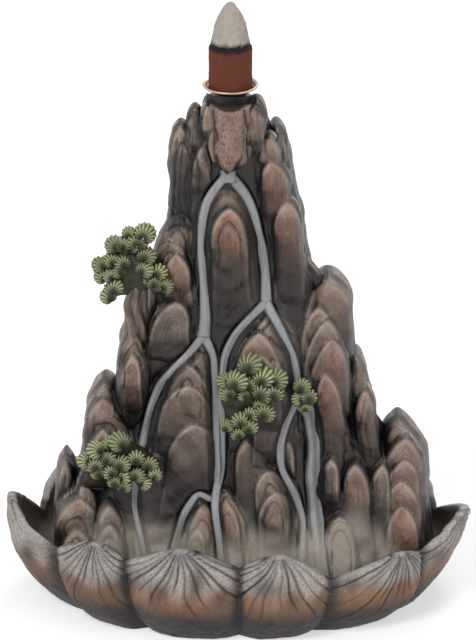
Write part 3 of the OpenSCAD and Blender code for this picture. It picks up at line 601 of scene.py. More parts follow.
def carved_face():
    """The face of the mountain as a relief over x and z. Rocks are laid on from the back to the front. Each
    covers what it stands in front of, and its outline is at least LIFT above what it lies on."""
    cx, a, b = core_at(grid_z)
    u = np.abs(grid_x - cx) / (a - 0.3)
    depth = np.where(u < 1, b * (1 - np.minimum(u, 1) ** BODY_BOX) ** (1 / BODY_BOX), -30.0)
    depth += 0.4 * waves(spaced(grid_x, 0, grid_z), 9, 3) - 0.3
    paint = {k: np.full(depth.shape, v) for k, v in
             dict(copper=0.05, light=0.15, fine=0.0, down=20.0, inside=9.0).items()}
    for k in sorted(range(len(ROCKS)), key=lambda k: LEAN * ROCKS[k][3] - ROCKS[k][5]):
        window, plane, own, inside, foot, mine = face_of(ROCKS[k], 17 * k + 5)
        old = depth[window]
        near = ease((plane - old + 2.5) / 1.5)
        lift = LIFT * (0.6 * ease(inside / 0.45) + 0.4 * ease(inside / 2.5)) * near
        new = np.maximum(own, np.maximum(old, EMPTY) + lift)
        new = np.where(inside > 0, old + np.maximum(new - old, 0) * foot, old)
        cover = np.clip((new - old) / 0.3, 0, 1) * foot
        depth[window] = new
        for key, value in mine.items():
            paint[key][window] += (value - paint[key][window]) * cover
    return depth, paint


face, face_paint = carved_face()
solid = face > EMPTY + 1
face = spread_into(np.where(solid, face, -np.inf), 14)
face = np.where(np.isinf(face), EMPTY, face)
bed_map = smooth(face, 4.0)

# Each channel's way with rounded bends, its half width, and how far each cell of the map lies outside the
# nearest one.
ways = [(rounded(even_line(points, 0.6, 0.6), 22), half) for points, half in CHANNELS]
near_way = np.full((TALL, WIDE), 99.0)
for way, half in ways:
    for part in np.array_split(way, max(1, len(way) // 24)):
        (x_lo, z_lo), (x_hi, z_hi) = part.min(0) - 6, part.max(0) + 6
        i0, i1 = max(0, int(z_lo / CELL)), min(TALL, int(z_hi / CELL) + 1)
        j0, j1 = max(0, int((x_lo - X0) / CELL)), min(WIDE, int((x_hi - X0) / CELL) + 1)
        gx, gz = grid_x[i0:i1, j0:j1, None], grid_z[i0:i1, j0:j1, None]
        d = np.hypot(gx - part[:, 0], gz - part[:, 1]).min(-1) - half
        near_way[i0:i1, j0:j1] = np.minimum(near_way[i0:i1, j0:j1], d)


def carve(p, lower=0.0):
    """Sinks the rocks under and beside a channel: the bed lies a little behind the average face and the
    banks rise from it. Nothing is carved above the mouth."""
    r, c = cells(p[..., 0], p[..., 2])
    away = sample(near_way, r, c)
    bed = -sample(bed_map, r, c) + BED + lower
    bank = bed - BANK * np.maximum(0, away - 0.1)
    facing = (p[..., 1] < 2) & (away < REACH) & (p[..., 2] < MOUTH_Z)
    out = p.copy()
    out[..., 1] = np.where(facing, np.maximum(p[..., 1], np.minimum(bank, bed)), p[..., 1])
    return out, np.clip(1 - away / BANK_WIDE, 0, 1) * facing


carved = []
for p, paint in mountain:
    q, beside = carve(p, 0.5)
    carved.append((q, dict(paint, beside=beside)))


def face_skin():
    """The carved face as one sheet of quads, a cell of the front map each. Its edges end inside the closed
    rocks."""
    p, beside = carve(np.stack([grid_x, -face, grid_z], -1))
    lie = -p[..., 1]
    wide, close = smooth(lie, 9) - lie, smooth(lie, 1.6) - lie
    paint = dict(face_paint, beside=beside, tall=grid_z, wide=wide, close=close)
    whole = solid & (grid_z > 4)
    for axis in (0, 1):
        whole &= np.roll(solid, 1, axis) & np.roll(solid, -1, axis)
    whole = whole[:-1, :-1] & whole[1:, :-1] & whole[:-1, 1:] & whole[1:, 1:]
    i, j = np.nonzero(whole)
    k = i * WIDE + j
    quads = np.stack([k, k + 1, k + WIDE + 1, k + WIDE], -1)
    used, quads = np.unique(quads, return_inverse=True)
    paint = {k: v.ravel()[used] for k, v in paint.items()}
    return in_pool(p.reshape(-1, 3)[used]), quads.reshape(-1, 4), paint


# The map of the unrolled mountain: millimetres a row, how many rows, and columns in a turn.
ROUND_CELL, ROUND_TALL, ROUND_WIDE = 0.6, 280, 480


def unrolled(p):
    """Place of points on the unrolled mountain: row by height, column by angle, and how far they stand out
    of CORE."""
    cx, a, b = core_at(p[..., 2])
    x, y = (p[..., 0] - cx) / a, p[..., 1] / b
    angle = np.arctan2(x, -y)
    out = (np.hypot(x, y) - 1) * np.hypot(a * np.sin(angle), b * np.cos(angle))
    return p[..., 2] / ROUND_CELL, (angle + math.pi) / TURN * ROUND_WIDE, out


row, col, out = unrolled(np.concatenate([p.reshape(-1, 3) for p, _ in carved]))
col = col.round().astype(int) % ROUND_WIDE
relief_map = highest(row.round().astype(int), col, out, (ROUND_TALL, ROUND_WIDE))
wide_map, close_map = smooth(relief_map, 5, True), smooth(relief_map, 2, True)


def rock_skins(some):
    """Closed rocks, and how deep each point lies below what is round it, in mm: over a wide neighbourhood,
    but not near the cup, and over a close one."""
    for p, paint in some:
        r, c, out = unrolled(p)
        wide = np.where(p[..., 2] > SHELF_H - 2, 0, sample(wide_map, r, c) - out)
        yield p, dict(paint, wide=wide, close=sample(close_map, r, c) - out)


# What the brushes leave on the rocks, with painted shade and painted highlights.
def painted(points, paint):
    """Shares of each paint, 0 to 1, from the relief: dark wash and painted shade where the surface lies deep,
    along the outlines and beside the channels, dry-brushed light and painted highlights on edges and near
    the tops, a lightness that falls from each rock's top towards its foot, copper on the bellies, and mist
    at the foot."""
    wide, close, fine, down, inside = (paint[k] for k in ("wide", "close", "fine", "down", "inside"))
    cloud = waves(points, 5, 71)
    top = np.exp(-(down / 9) ** 1.4)
    far_top = np.exp(-(down / 11) ** 1.5)
    # A dark line along each outline, and dark in creases, hollows, grooves and beside the channels: dark wash
    # and painted shade.
    line = np.exp(-(inside / 0.55) ** 2)
    # Light on edges, on raised relief and near the tops: dry-brushed paint and painted highlight.
    edge = np.exp(-((inside - 1.0) / 0.42) ** 2) * (0.2 + 0.8 * top)
    edge = edge + 0.5 * ease((-close - 0.05) / 0.25) * top
    dry = (0.95 + 0.35 * cloud) * edge + 1.2 * np.maximum(0, fine - 0.05) + 0.1 * top
    wash = 0.95 * line + ease((close - 0.05) / 0.3) * 0.8 + ease((wide - 0.6) / 2.4) * 0.75
    wash = wash + np.maximum(0, -fine - 0.03) * 2.6 + 0.8 * ease(paint["beside"])
    belly = ease((down - 0.4) / 1.5) * far_top * ease((inside - 0.5) / 1.2)
    copper = paint["copper"] * belly * (0.95 + 0.3 * cloud)
    # Each rock gets lighter towards its top and darker towards its foot.
    light = paint["light"] * (0.08 + 0.92 * far_top) * (1 + 0.25 * cloud)
    foggy = ease((54 - np.abs(points[:, 0])) / 14) * ease((-8 - points[:, 1]) / 10)
    mist = ease((25 + 12 * foggy - paint["tall"] + 2.5 * waves(points, 14, 72)) / 14)
    return shares(wash=wash, dry=dry, copper=copper, light=light, mist=mist)


# Bowl of petals.
def petal_at(phi):
    """For angles in degrees: the petal, how far from its tip to its crease (0..1, signed), and the rim's
    height share."""
    petal = np.clip(np.searchsorted(CREASES, phi, "right") - 1, 0, len(TIPS) - 1)
    tip = TIPS[petal]
    right = phi >= tip
    crease = np.where(right, CREASES[petal + 1], CREASES[petal])
    low = np.where(right, CREASE_SHARE[petal + 1], CREASE_SHARE[petal])
    u = (phi - tip) / (crease - tip)
    return petal, u * np.where(right, 1, -1), low + (TIP_SHARE[petal] - low) * (1 - np.abs(u) ** 1.7)


def bowl_skin():
    """The bowl: an oval foot that flares to an oval rim as 1 - (1 - t) ** belly, cut into petals. Creases
    sink in as u ** 3, rims are arches, and tips curl in as t ** 4. Grooves fan out from each tip."""
    phi = np.linspace(CREASES[0], CREASES[-1], 960, endpoint=False)
    petal, u, share = petal_at(phi)
    side = np.abs(u)
    rad = np.radians(phi)
    top = PETAL_H * share
    belly = 3 + (PETAL_BELLY[petal] - 3) * (1 - side ** 2)
    curl = TIP_CURL[petal] * (1 - side ** 2)

    def ring(out, z, inset):
        a = FOOT_W / 2 + (BOWL_W - FOOT_W) / 2 * out - inset
        b = FOOT_D / 2 + (BOWL_D - FOOT_D) / 2 * out - inset
        return np.stack([a * np.sin(rad), -b * np.cos(rad), z + 0 * rad], -1)

    rings, kind = [], []
    for t in np.linspace(0, 1, 64):
        sunk = PETAL_CREASE * side ** 3 * (0.75 + 0.25 * math.sin(math.pi * t)) + curl * t ** 4
        rings.append(ring(1 - (1 - t) ** belly, top * t, sunk + 0.5 * ease((t - 0.96) / 0.04)))
        kind.append(t)
    for s in np.linspace(0.15, 1, 7):
        sunk = curl + 0.5 + (PETAL_WALL - 0.5) * s + PETAL_CREASE * side ** 3 * (0.75 - 0.2 * s)
        rings.append(ring(1, top + 0.45 * math.sin(math.pi * s) - 0.5 * s, sunk))
        kind.append(1 + 0.1 * s)
    for s in np.linspace(0.08, 1, 18):
        z = top * (1 - s) + (POOL_FLOOR + 1) * s - 0.5
        sunk = PETAL_WALL + 0.4 * math.sin(math.pi * s) + (curl + PETAL_CREASE * 0.55 * side ** 3) * (1 - s)
        rings.append(ring(1 - s ** 2.2, z, sunk))
        kind.append(2 + s)
    p = np.stack(rings)
    kind = np.array(kind)[:, None] + 0 * phi
    outer = kind <= 1.12
    # Grooves of the outer face, by direction and distance from a point just above the petal's tip.
    across = np.hypot(p[..., 0], p[..., 1]) * np.radians(phi - TIPS[petal])
    down = PETAL_H * TIP_SHARE[petal] + 1.5 - p[..., 2] + np.maximum(0, curl) * 1.2 * (kind < 1) * (1 - kind)
    far = np.hypot(across, down)
    fan = np.arctan2(across, down) + 0.03 * np.sin(far / 3 + petal)
    groove = np.zeros(fan.shape)
    rng = np.random.default_rng(8)
    count = 19
    for k in range(len(TIPS)):
        lines = np.linspace(-1.5, 1.5, count) + rng.uniform(-0.045, 0.045, count)
        depths, ends = rng.uniform(0.45, 1.0, count), rng.uniform(16, 32, count)
        mine = petal == k
        for line, depth, end in zip(lines, depths, ends):
            cut = depth * np.exp(-((fan - line) * far / 0.27) ** 2) * ease((end - far) / 6)
            groove = np.where(mine, np.maximum(groove, cut), groove)
    groove = groove * ease((far - 1.2) / 2) * outer
    hair = np.sin(fan * 70 + 1.5 * waves(p, 6, 82)) * ease((far - 3) / 5) * outer
    lumps = 0.2 * waves(p, 9, 83) + 0.1 * waves(p, 3, 84)
    inward = 0.75 * groove - 0.05 * hair - lumps
    way = np.stack([np.sin(rad), -np.cos(rad), 0 * rad], -1)
    p = p - way * (inward * np.where(kind < 1.2, 1, 0.3))[..., None]
    p[0, :, 2] = 0
    up = np.clip(p[..., 2] / (PETAL_H * np.maximum(TIP_SHARE[petal], 0.9)), 0, 1)
    cloud = waves(p, 10, 85)
    warm = PETAL_COPPER[petal] * ease((up - 0.22) / 0.22) * ease((0.86 - up + 0.1 * cloud) / 0.3)
    warm = warm * (1 + 0.3 * cloud)
    # Grey-white on the upper part of each petal: brushed paint and painted highlight.
    pale = ease((up - 0.48 + 0.08 * cloud) / 0.34)
    crease = ease((side - 0.8) / 0.2) * outer
    inside = ease((kind - 1.6) / 0.6)
    # Dark wash and painted shade in the grooves, along the creases and inside the bowl.
    wash = 1.1 * groove + 0.9 * crease + 0.12 * (hair < -0.5) * outer + 0.5 * inside
    # Darker towards the foot of each petal: painted shade where it turns under.
    dark = ease((0.5 - up + 0.05 * cloud) / 0.36) * outer
    mist = inside * ease((16 - p[..., 2]) / 8)
    copper = np.clip(warm, 0, 1) * (1 - inside)
    return p, shares(wash=wash, copper=copper, pale=pale * (1 - 0.7 * inside), dark=dark, mist=mist)


# Smoke streams.
def stream_skin(way, half, seed):
    """A stream: a flat oval carried along its channel on the bed of the rocks, a little uneven in width and
    broader at its ends, with fine strands along it."""
    r, c = cells(way[:, 0], way[:, 1])
    y = rounded(1.0 - sample(bed_map, r, c), 30)
    k = np.arange(len(way))
    centre = np.stack([way[:, 0], y, way[:, 1]], -1)
    along = np.gradient(centre, axis=0)
    along /= np.linalg.norm(along, axis=1)[:, None]
    across = np.cross([0, -1, 0], along)
    across /= np.linalg.norm(across, axis=1)[:, None]
    out = np.cross(along, across)
    a = full_turn(24)
    fork = np.exp(-0.2 * k) + np.exp(-0.2 * (len(k) - 1 - k))
    width = half * (0.92 + 0.12 * waves(centre, 12, seed) + 0.55 * fork) + 0.2
    rise = 0.75 + 0.25 * np.sin(k * 0.21 + seed)
    k, width, rise = k[:, None], width[:, None], rise[:, None]
    strand = 0.09 * np.sin(7 * a + 0.06 * k) * np.maximum(0, np.sin(a))
    p = centre[:, None] + across[:, None] * (width * np.cos(a))[..., None]
    p = in_pool(p + out[:, None] * (rise * np.sin(a) + strand)[..., None])
    # Streams under 2 mm have dark edges, painted shade where they meet the banks; broader ones are a veil.
    edge = np.abs(np.cos(a))
    veil = (half > 2) * (0.35 + 0.35 * np.sin(5 * a + 0.03 * k) + 0.5 * edge ** 4)
    return p, dict(edge=edge * (half < 2), veil=np.clip(veil, 0, 0.9), mist=0.8 * ease((36 - p[..., 2]) / 14))


def stream_skins():
    """The stream of each channel."""
    for k, (way, half) in enumerate(ways):
        yield stream_skin(way, half, 50 + k)


# Pines.
PAD = 1.24


def needle_pad(at, r, root, seed):
    """A pad of needles, like a scallop shell: ribs fan out from a hinge near its lower edge. The rim lies
    (0.22 + 1.35 c) r from the hinge, where c falls from 1 straight up to 0 straight down, and the back is
    arched between hinge and rim."""
    g = np.random.default_rng(seed)
    lift = np.array([0.25 * g.normal(), -0.8, 0.56 + 0.14 * g.normal()])
    lift /= np.linalg.norm(lift)
    lean = np.clip((at[0] - root[0]) / 14, -0.7, 0.7) + 0.15 * g.normal()
    u = np.array([lean, 0, 1.0])
    u = u - lift * (u @ lift)
    u /= np.linalg.norm(u)
    v = np.cross(lift, u)
    a = full_turn(76)
    ribs = int(g.integers(17, 21))
    rib = 0.5 + 0.5 * np.cos(ribs * a)
    reach = 0.22 + 1.35 * ((1 + np.cos(a)) / 2) ** 1.1
    # The two first rings are the flat underside.
    s = np.concatenate([[0.3, 0.8], 1 - np.linspace(0, 1, 13)[:-1] ** 1.2, [0.02]])[:, None]
    top = np.arange(len(s))[:, None] > 1
    rise = 0.8 * np.sin(math.pi * (0.1 + 0.84 * s ** 1.1)) ** 0.8
    rise[:2, 0] = -0.5, -0.35
    far = s * reach * (1 + 0.12 * (rib - 0.5))
    lump = (rise + 0.13 * (rib - 0.5) * ease(s / 0.5) * top) * ease(reach / 0.7)
    hinge = np.array(at) - 0.62 * r * u
    side = u * (far * np.cos(a))[..., None] + v * (far * np.sin(a))[..., None]
    p = hinge + r * (side + lift * lump[..., None])
    # The ribs and the upper part of each pad are painted lighter and the underside and the hinge darker:
    # painted highlight and painted shade.
    shown = top * ease((s * reach - 0.3) / 0.55) * ease((np.cos(a) + 0.75) / 0.9)
    return p, dict(rib=rib ** 1.5 * shown, tip=top * (0.45 + 0.55 * shown), shade=g.uniform(0, 1))


def clump(middle, half, seed):
    """The inside of a pine, painted dark as shade: a lumpy ellipsoid that reaches back into the rock."""
    t = np.linspace(-1.5, 1.5, 20)[:, None]
    a = full_turn(36)
    way = spaced(np.cos(t) * np.cos(a), np.cos(t) * np.sin(a), np.sin(t))
    p = np.array(middle) + way * np.array(half)
    return p + way * (0.7 * waves(p, 4, seed))[..., None], dict(rib=0, tip=0.25, shade=0)


def pine_skins():
    """The clumps and pads of the pines. A pad is larger than its radius in the table by the factor PAD."""
    for tree, (y, root, middle, half, pads) in enumerate(PINES):
        yield clump(middle, half, 880 + tree)
        for k, (x, z, r) in enumerate(pads):
            pad_y = y + 0.3 * (z - middle[2]) + 0.4 * math.sin(97 * k)
            yield needle_pad((x, pad_y, z), PAD * r, root, 900 + 40 * tree + k)


def trunk_skin():
    """The trunk: rings through the rows of TRUNK, with bark in twisted flutes."""
    t = np.linspace(0, 1, 60)
    s = np.linspace(0, 1, len(TRUNK))
    t, x, y, z, r = (v[:, None] for v in (t, *(np.interp(t, s, TRUNK[:, k]) for k in range(4))))
    a = full_turn(40)
    bark = 1 + 0.12 * np.cos(6 * a + 5 * t) + 0.05 * np.cos(13 * a - 9 * t)
    p = spaced(x + 0.5 * np.sin(9 * t) + r * bark * np.cos(a), y + r * bark * np.sin(a), z)
    p, paint = brushed(p, 0.3, 0.5, 2 * (bark - 1), 6, 4)
    return p, dict(paint, beside=0)


# Cup and cone.
def turned(profile, n, closed):
    """A turned shape: a profile of radius and height carried round the cup's axis. A closed profile joins
    its ends, an open one is capped."""
    a = full_turn(n)
    r = profile[:, :1]
    p = spaced(CUP_AT[0] + r * np.cos(a), CUP_AT[1] + r * np.sin(a), profile[:, 1:])
    if not closed:
        return p, closed_skin(p)
    i = np.arange(n)
    k = np.arange(len(profile))[:, None]
    j, above = (i + 1) % n, (k + 1) % len(profile)
    return p, np.stack([k * n + i, k * n + j, above * n + j, above * n + i], -1).reshape(-1, 4)


def from_axis(p):
    """Level way from the cup's axis to each point."""
    return spaced(p[..., 0] - CUP_AT[0], p[..., 1] - CUP_AT[1], 0)


def smooth_profile(points, step):
    """Points of a profile at even spacing, with the corners a little rounded."""
    return rounded(np.concatenate([even_line(points, step, 0), points[-1:]]), 1)


# Finishes.
def colour(code):
    """An sRGB hex colour as linear values."""
    c = np.array([int(code[k:k + 2], 16) for k in (1, 3, 5)]) / 255
    return (*np.where(c <= 0.04045, c / 12.92, ((c + 0.055) / 1.055) ** 2.4), 1.0)


def add(tree, kind, sockets=None, **settings):
    """Adds a node with its settings; each socket takes a value or a link from another node's output."""
    n = tree.nodes.new(kind)
    for key, value in settings.items():
        setattr(n, key, value)
    for key, value in (sockets or {}).items():
        if isinstance(value, bpy.types.NodeSocket):
            tree.links.new(value, n.inputs[key])
        else:
            n.inputs[key].default_value = value
    return n


def on_mesh(t, name):
    """How much of something is painted on each point of the mesh."""
    return add(t, "ShaderNodeAttribute", attribute_name=name).outputs["Fac"]


def noise(t, scale, detail, rough=0.5, stretch=(1, 1, 1)):
    """Cloudy noise on the object; its lumps are about 1000 / scale mm across, drawn out where `stretch` is
    below 1."""
    place = add(t, "ShaderNodeTexCoord").outputs["Object"]
    where = add(t, "ShaderNodeMapping", {"Vector": place, "Scale": stretch}).outputs["Vector"]
    sockets = {"Vector": where, "Scale": scale, "Detail": detail, "Roughness": rough}
    return add(t, "ShaderNodeTexNoise", sockets).outputs["Fac"]


def ramp(t, value, low, high, start, end):
    """A value brought from low..high to start..end, and kept inside it."""
    sockets = {"Value": value, "From Min": low, "From Max": high, "To Min": start, "To Max": end}
    return add(t, "ShaderNodeMapRange", sockets).outputs[0]


def calc(t, operation, *values, **settings):
    """A sum, a product or the like of two or three values."""
    return add(t, "ShaderNodeMath", dict(enumerate(values)), operation=operation, **settings).outputs[0]


def mix(t, factor, under, over, **settings):
    """One colour laid over another. Each is a hex code or comes from a node."""
    a, b = (colour(c) if isinstance(c, str) else c for c in (under, over))
    return add(t, "ShaderNodeMix", {"Factor": factor, 6: a, 7: b}, data_type="RGBA", **settings).outputs[2]


def layers(t, paint, *coats):
    """A paint with coats over it, each a share and a colour."""
    for share, over in coats:
        paint = mix(t, share, paint, over)
    return paint


def product(t, a, b):
    """The product of two values."""
    return calc(t, "MULTIPLY", a, b)


def crevices(t, distance, low, high):
    """Share of painted shade, as dark as the wash, where the surface is closed in: ambient occlusion within a
    distance in metres.
    """
    inner = add(t, "ShaderNodeAmbientOcclusion", {"Distance": distance}, samples=8).outputs["AO"]
    return ramp(t, inner, low, high, 0.8, 0.0)


def new_material(name):
    """A material and its empty tree of nodes."""
    m = bpy.data.materials.new(name)
    m.use_nodes = True
    m.node_tree.nodes.clear()
    return m, m.node_tree


def finish(tree, shader):
    """Joins a shader to the material's output."""
    add(tree, "ShaderNodeOutputMaterial", {"Surface": shader.outputs[0]})


def coat(t, base, rough, height, strength, distance, **constants):
    """The surface: its colour, roughness and a bump of some strength and distance in metres."""
    bump = add(t, "ShaderNodeBump", {"Height": height, "Strength": strength, "Distance": distance})
    sockets = {"Base Color": base, "Roughness": rough, "Normal": bump.outputs[0], **constants}
    finish(t, add(t, "ShaderNodeBsdfPrincipled", sockets))


# Index of refraction of dried acrylic paint, and the colours that several paints share.
ACRYLIC = 1.47
MIST = "#aea699"


def stone_paint():
    """Acrylic paint by hand on cast resin: brown with copper bellies, light dry-brushed edges that are also
    painted highlights, and a dark wash in the hollows that is also painted shade, darkest where parts close in.
    It gives the eye a satin, slightly grainy skin whose edges catch light."""
    m, t = new_material("hand_painted_resin")
    light = on_mesh(t, "light")
    # Brush grain 0.6 mm across, speckle 0.35 mm, streaks 1.2 mm wide and 3.6 mm long down the rock.
    grain = noise(t, 1700.0, 3.0, 0.65)
    speckle = noise(t, 2800.0, 2.0, 0.7)
    streak = noise(t, 800.0, 4.0, 0.6, (1, 1, 0.35))
    copper = product(t, ramp(t, grain, 0.3, 0.62, 0.35, 1.0), on_mesh(t, "copper"))
    paint = layers(t, "#1a1719", (light, "#78665a"), (copper, "#9a5a3a"))
    paint = mix(t, 1.0, paint, ramp(t, streak, 0.32, 0.68, 0.74, 1.22), blend_type="MULTIPLY")
    # Dry-brushed light and painted highlight on edges and raised relief.
    dry = product(t, ramp(t, speckle, 0.4, 0.6, 0.45, 1.0), on_mesh(t, "dry"))
    flecks = product(t, ramp(t, speckle, 0.58, 0.7, 0.0, 0.4), light)
    # Dark wash and painted shade in the hollows, deepened by ambient occlusion where parts close in.
    washed = calc(t, "MAXIMUM", on_mesh(t, "wash"), crevices(t, 0.003, 0.3, 0.85))
    mist = on_mesh(t, "mist")
    paint = layers(t, paint, (dry, "#b8a596"), (flecks, "#b9a899"), (washed, "#151213"), (mist, MIST))
    coat(t, paint, ramp(t, grain, 0.3, 0.7, 0.34, 0.52), grain, 0.5, 0.0003, IOR=ACRYLIC)
    return m


def petal_paint():
    """The same acrylic on the petals: near black at the foot, which is painted shade where the petals turn
    under, copper, then grey-white brushed up to the rim with painted highlights, and dark wash with painted
    shade left in the grooves, the creases and inside the bowl."""
    m, t = new_material("hand_painted_petals")
    pale = on_mesh(t, "pale")
    # Grain 0.7 mm across, brush marks 0.8 mm wide and 3.8 mm long, dots 0.3 mm.
    grain = noise(t, 1500.0, 4.0, 0.65)
    brush = noise(t, 1200.0, 3.0, 0.6, (1, 1, 0.22))
    dots = noise(t, 3000.0, 2.0, 0.7)
    copper = on_mesh(t, "copper")
    # Grey-white brushed paint and painted highlight on the upper petals.
    white = product(t, ramp(t, grain, 0.34, 0.56, 0.6, 1.0), pale)
    bare = product(t, ramp(t, dots, 0.36, 0.5, 0.55, 0.0), pale)
    paint = layers(t, "#51453f", (copper, "#946f54"), (white, "#c4beb8"), (bare, "#4b4543"))
    paint = mix(t, 1.0, paint, ramp(t, brush, 0.3, 0.7, 0.86, 1.14), blend_type="MULTIPLY")
    # Dark wash and painted shade in the grooves and creases, deepened by ambient occlusion where parts close
    # in.
    washed = calc(t, "MAXIMUM", on_mesh(t, "wash"), crevices(t, 0.004, 0.35, 0.85))
    # Near black towards the foot: painted shade where the petals turn under.
    dark, mist = on_mesh(t, "dark"), on_mesh(t, "mist")
    paint = layers(t, paint, (dark, "#2d2829"), (washed, "#292425"), (mist, MIST))
    coat(t, paint, ramp(t, grain, 0.3, 0.7, 0.48, 0.66), grain, 0.3, 0.0003, IOR=ACRYLIC)
    return m


def smoke_paint():
    """Pale grey satin paint in the channels, darker at its edges with painted shade where it meets the banks,
    and drawn out along the flow. On the broad fall it is thin, so the brown below shows between the strands."""
    m, t = new_material("stream_paint")
    # Strands 0.9 mm wide and 4.5 mm long.
    strand = noise(t, 1100.0, 2.0, stretch=(1, 1, 0.2))
    # Painted shade along the edges of the narrow streams.
    edge = ramp(t, on_mesh(t, "edge"), 0.62, 0.98, 0.0, 0.9)
    veil, mist = on_mesh(t, "veil"), on_mesh(t, "mist")
    paint = layers(t, "#838488", (strand, "#b6b6b8"), (edge, "#3a3a3e"), (veil, "#4d4541"), (mist, MIST))
    coat(t, paint, ramp(t, strand, 0, 1, 0.36, 0.5), strand, 0.3, 0.0003, IOR=ACRYLIC)
    return m


def needle_paint():
    """Matt green paint on the pines: dark olive between the ribs, yellow-green dry-brushed on them. The
    yellow-green is also painted highlight; the dark olive on the undersides, hinges and clump, and the
    darkening where parts close in, are painted shade.
    """
    m, t = new_material("pine_green_paint")
    # Brush grain 0.45 mm across.
    grain = noise(t, 2200.0, 2.0, 0.6)
    # Dark olive on the undersides, hinges and clump, lighter on the upper parts of the pads: painted shade.
    deep = mix(t, on_mesh(t, "tip"), "#22241a", "#525835")
    hue = mix(t, on_mesh(t, "shade"), "#b3b98c", "#dcdfae")
    # Yellow-green on the ribs: dry-brushed paint and painted highlight.
    ribs = calc(t, "MULTIPLY", ramp(t, grain, 0.35, 0.6, 0.55, 1.15), on_mesh(t, "rib"), use_clamp=True)
    # Painted shade from ambient occlusion where parts close in.
    paint = mix(t, crevices(t, 0.003, 0.3, 0.8), mix(t, ribs, deep, hue), "#1c1c15")
    coat(t, paint, ramp(t, grain, 0, 1, 0.5, 0.7), grain, 0.3, 0.0002, IOR=ACRYLIC)
    return m


def aged_brass():
    """Turned brass with a dark patina, brighter on the top of the rim."""
    m, t = new_material("patinated_brass")
    # Turning marks 0.3 mm apart and patina in 1.5 mm clouds.
    marks = noise(t, 3300.0, 2.0, stretch=(0.05, 0.05, 1))
    patina = mix(t, noise(t, 650.0, 4.0), "#54432f", "#957853")
    bright = mix(t, on_mesh(t, "worn"), patina, "#c0aa90")
    coat(t, bright, ramp(t, marks, 0, 1, 0.24, 0.42), marks, 0.15, 0.0001, Metallic=0.75)
    return m


def pressed_incense():
    """Pressed wood powder: red-brown below, charred black where it burns, and pale crumbling ash above.
    Dull, with grains that show."""
    m, t = new_material("pressed_incense")
    # Grains of powder 0.4 mm across, clots of ash 1.6 mm.
    grain = noise(t, 2500.0, 2.0, 0.7)
    clot = noise(t, 620.0, 3.0, 0.6)
    wood = mix(t, grain, "#4a241b", "#864a35")
    ash = mix(t, clot, "#aba091", "#cec5b8")
    # Height above the burning edge in mm, 1 mm uneven either way.
    uneven = calc(t, "MULTIPLY_ADD", calc(t, "SUBTRACT", clot, 0.5), 2.0, on_mesh(t, "burnt"))
    charred = mix(t, ramp(t, uneven, -1.6, -0.4, 0, 1), wood, "#171313")
    ashed = mix(t, ramp(t, uneven, 0.7, 1.9, 0, 1), charred, ash)
    coat(t, ashed, ramp(t, grain, 0, 1, 0.82, 0.98), calc(t, "ADD", grain, clot), 0.6, 0.0005, IOR=1.4)
    return m


# Camera, light and floor.
# Place that the camera looks at and its distance, in metres; its height over it in degrees.
AIM, AWAY, TILT = Vector((0, 0, 0.085)), 1.5, 23
# The photograph's height in pixels, metres a pixel at the aim, and how far its middle lies from the aim in
# pixels.
PHOTO_H, PIXEL, OFF_X, OFF_Y = 640, 0.000305, 0.5, 12.8
SENSOR = 24
WHITE = (1, 1, 1, 1)


def seen_itself(tree):
    """1 for rays that show a surface, straight or through gloss or glass, and 0 for those that light the
    object."""
    path = add(tree, "ShaderNodeLightPath").outputs
    seen = calc(tree, "MAXIMUM", path["Is Camera Ray"], path["Is Glossy Ray"])
    return calc(tree, "MAXIMUM", seen, path["Is Transmission Ray"])


def studio():
    """A camera in front at 23 degrees above, one large soft lamp at the upper left, a weaker one at the
    right, a rim lamp behind, and a pale floor that shows white but keeps the shadow."""
    camera = linked("camera", bpy.data.cameras.new("camera"))
    back = Vector((0, -math.cos(math.radians(TILT)), math.sin(math.radians(TILT))))
    camera.location = AIM + back * AWAY
    camera.rotation_euler = (-back).to_track_quat("-Z", "Y").to_euler()
    lens = camera.data
    lens.sensor_fit = "VERTICAL"
    lens.sensor_height = SENSOR
    lens.lens = SENSOR * AWAY / (PHOTO_H * PIXEL)
    lens.shift_x = OFF_X / PHOTO_H
    lens.shift_y = OFF_Y / PHOTO_H
    scene.camera = camera
    # Place and size in metres, power in watts.
    for name, at, size, power in (("key", (-0.7, -1.0, 1.2), 0.6, 11.0),
                                  ("fill", (0.95, -0.75, 0.6), 0.9, 3.0),
                                  ("rim", (0.3, 0.95, 1.0), 0.6, 5.0)):
        lamp = bpy.data.lights.new(name, "AREA")
        lamp.energy = power
        lamp.size = size
        holder = linked(name, lamp)
        holder.location = at
        holder.rotation_euler = (AIM - Vector(at)).to_track_quat("-Z", "Y").to_euler()
    world = bpy.data.worlds.new("pale_studio")
    world.use_nodes = True
    tree = world.node_tree
    tree.nodes.clear()
    level = ramp(tree, seen_itself(tree), 0, 1, 0.36, 1.0)
    sky = add(tree, "ShaderNodeBackground", {"Color": WHITE, "Strength": level})
    add(tree, "ShaderNodeOutputWorld", {"Surface": sky.outputs[0]})
    scene.world = world
    scene.view_settings.view_transform = "Standard"

    floor_mesh = bpy.data.meshes.new("floor")
    floor_mesh.from_pydata([(-4, -4, 0), (4, -4, 0), (4, 4, 0), (-4, 4, 0)], [], [(0, 1, 2, 3)])
    floor = linked("floor", floor_mesh)
    paper, t = new_material("white_paper")
    sheet = add(t, "ShaderNodeBsdfDiffuse", {"Color": (0.82, 0.82, 0.82, 1)})
    glow = product(t, seen_itself(t), 0.5)
    lit = add(t, "ShaderNodeEmission", {"Color": WHITE, "Strength": glow})
    finish(t, add(t, "ShaderNodeAddShader", {0: sheet.outputs[0], 1: lit.outputs[0]}))
    floor_mesh.materials.append(paper)


# Assembly.
studio()
stone, petals, smoke, green, brass, incense = (
    stone_paint(), petal_paint(), smoke_paint(), needle_paint(), aged_brass(), pressed_incense())


def stone_piece(name, points, quads, paint):
    """A piece in the rocks' paint."""
    return make_piece(name, points, quads, painted(points, paint), stone)


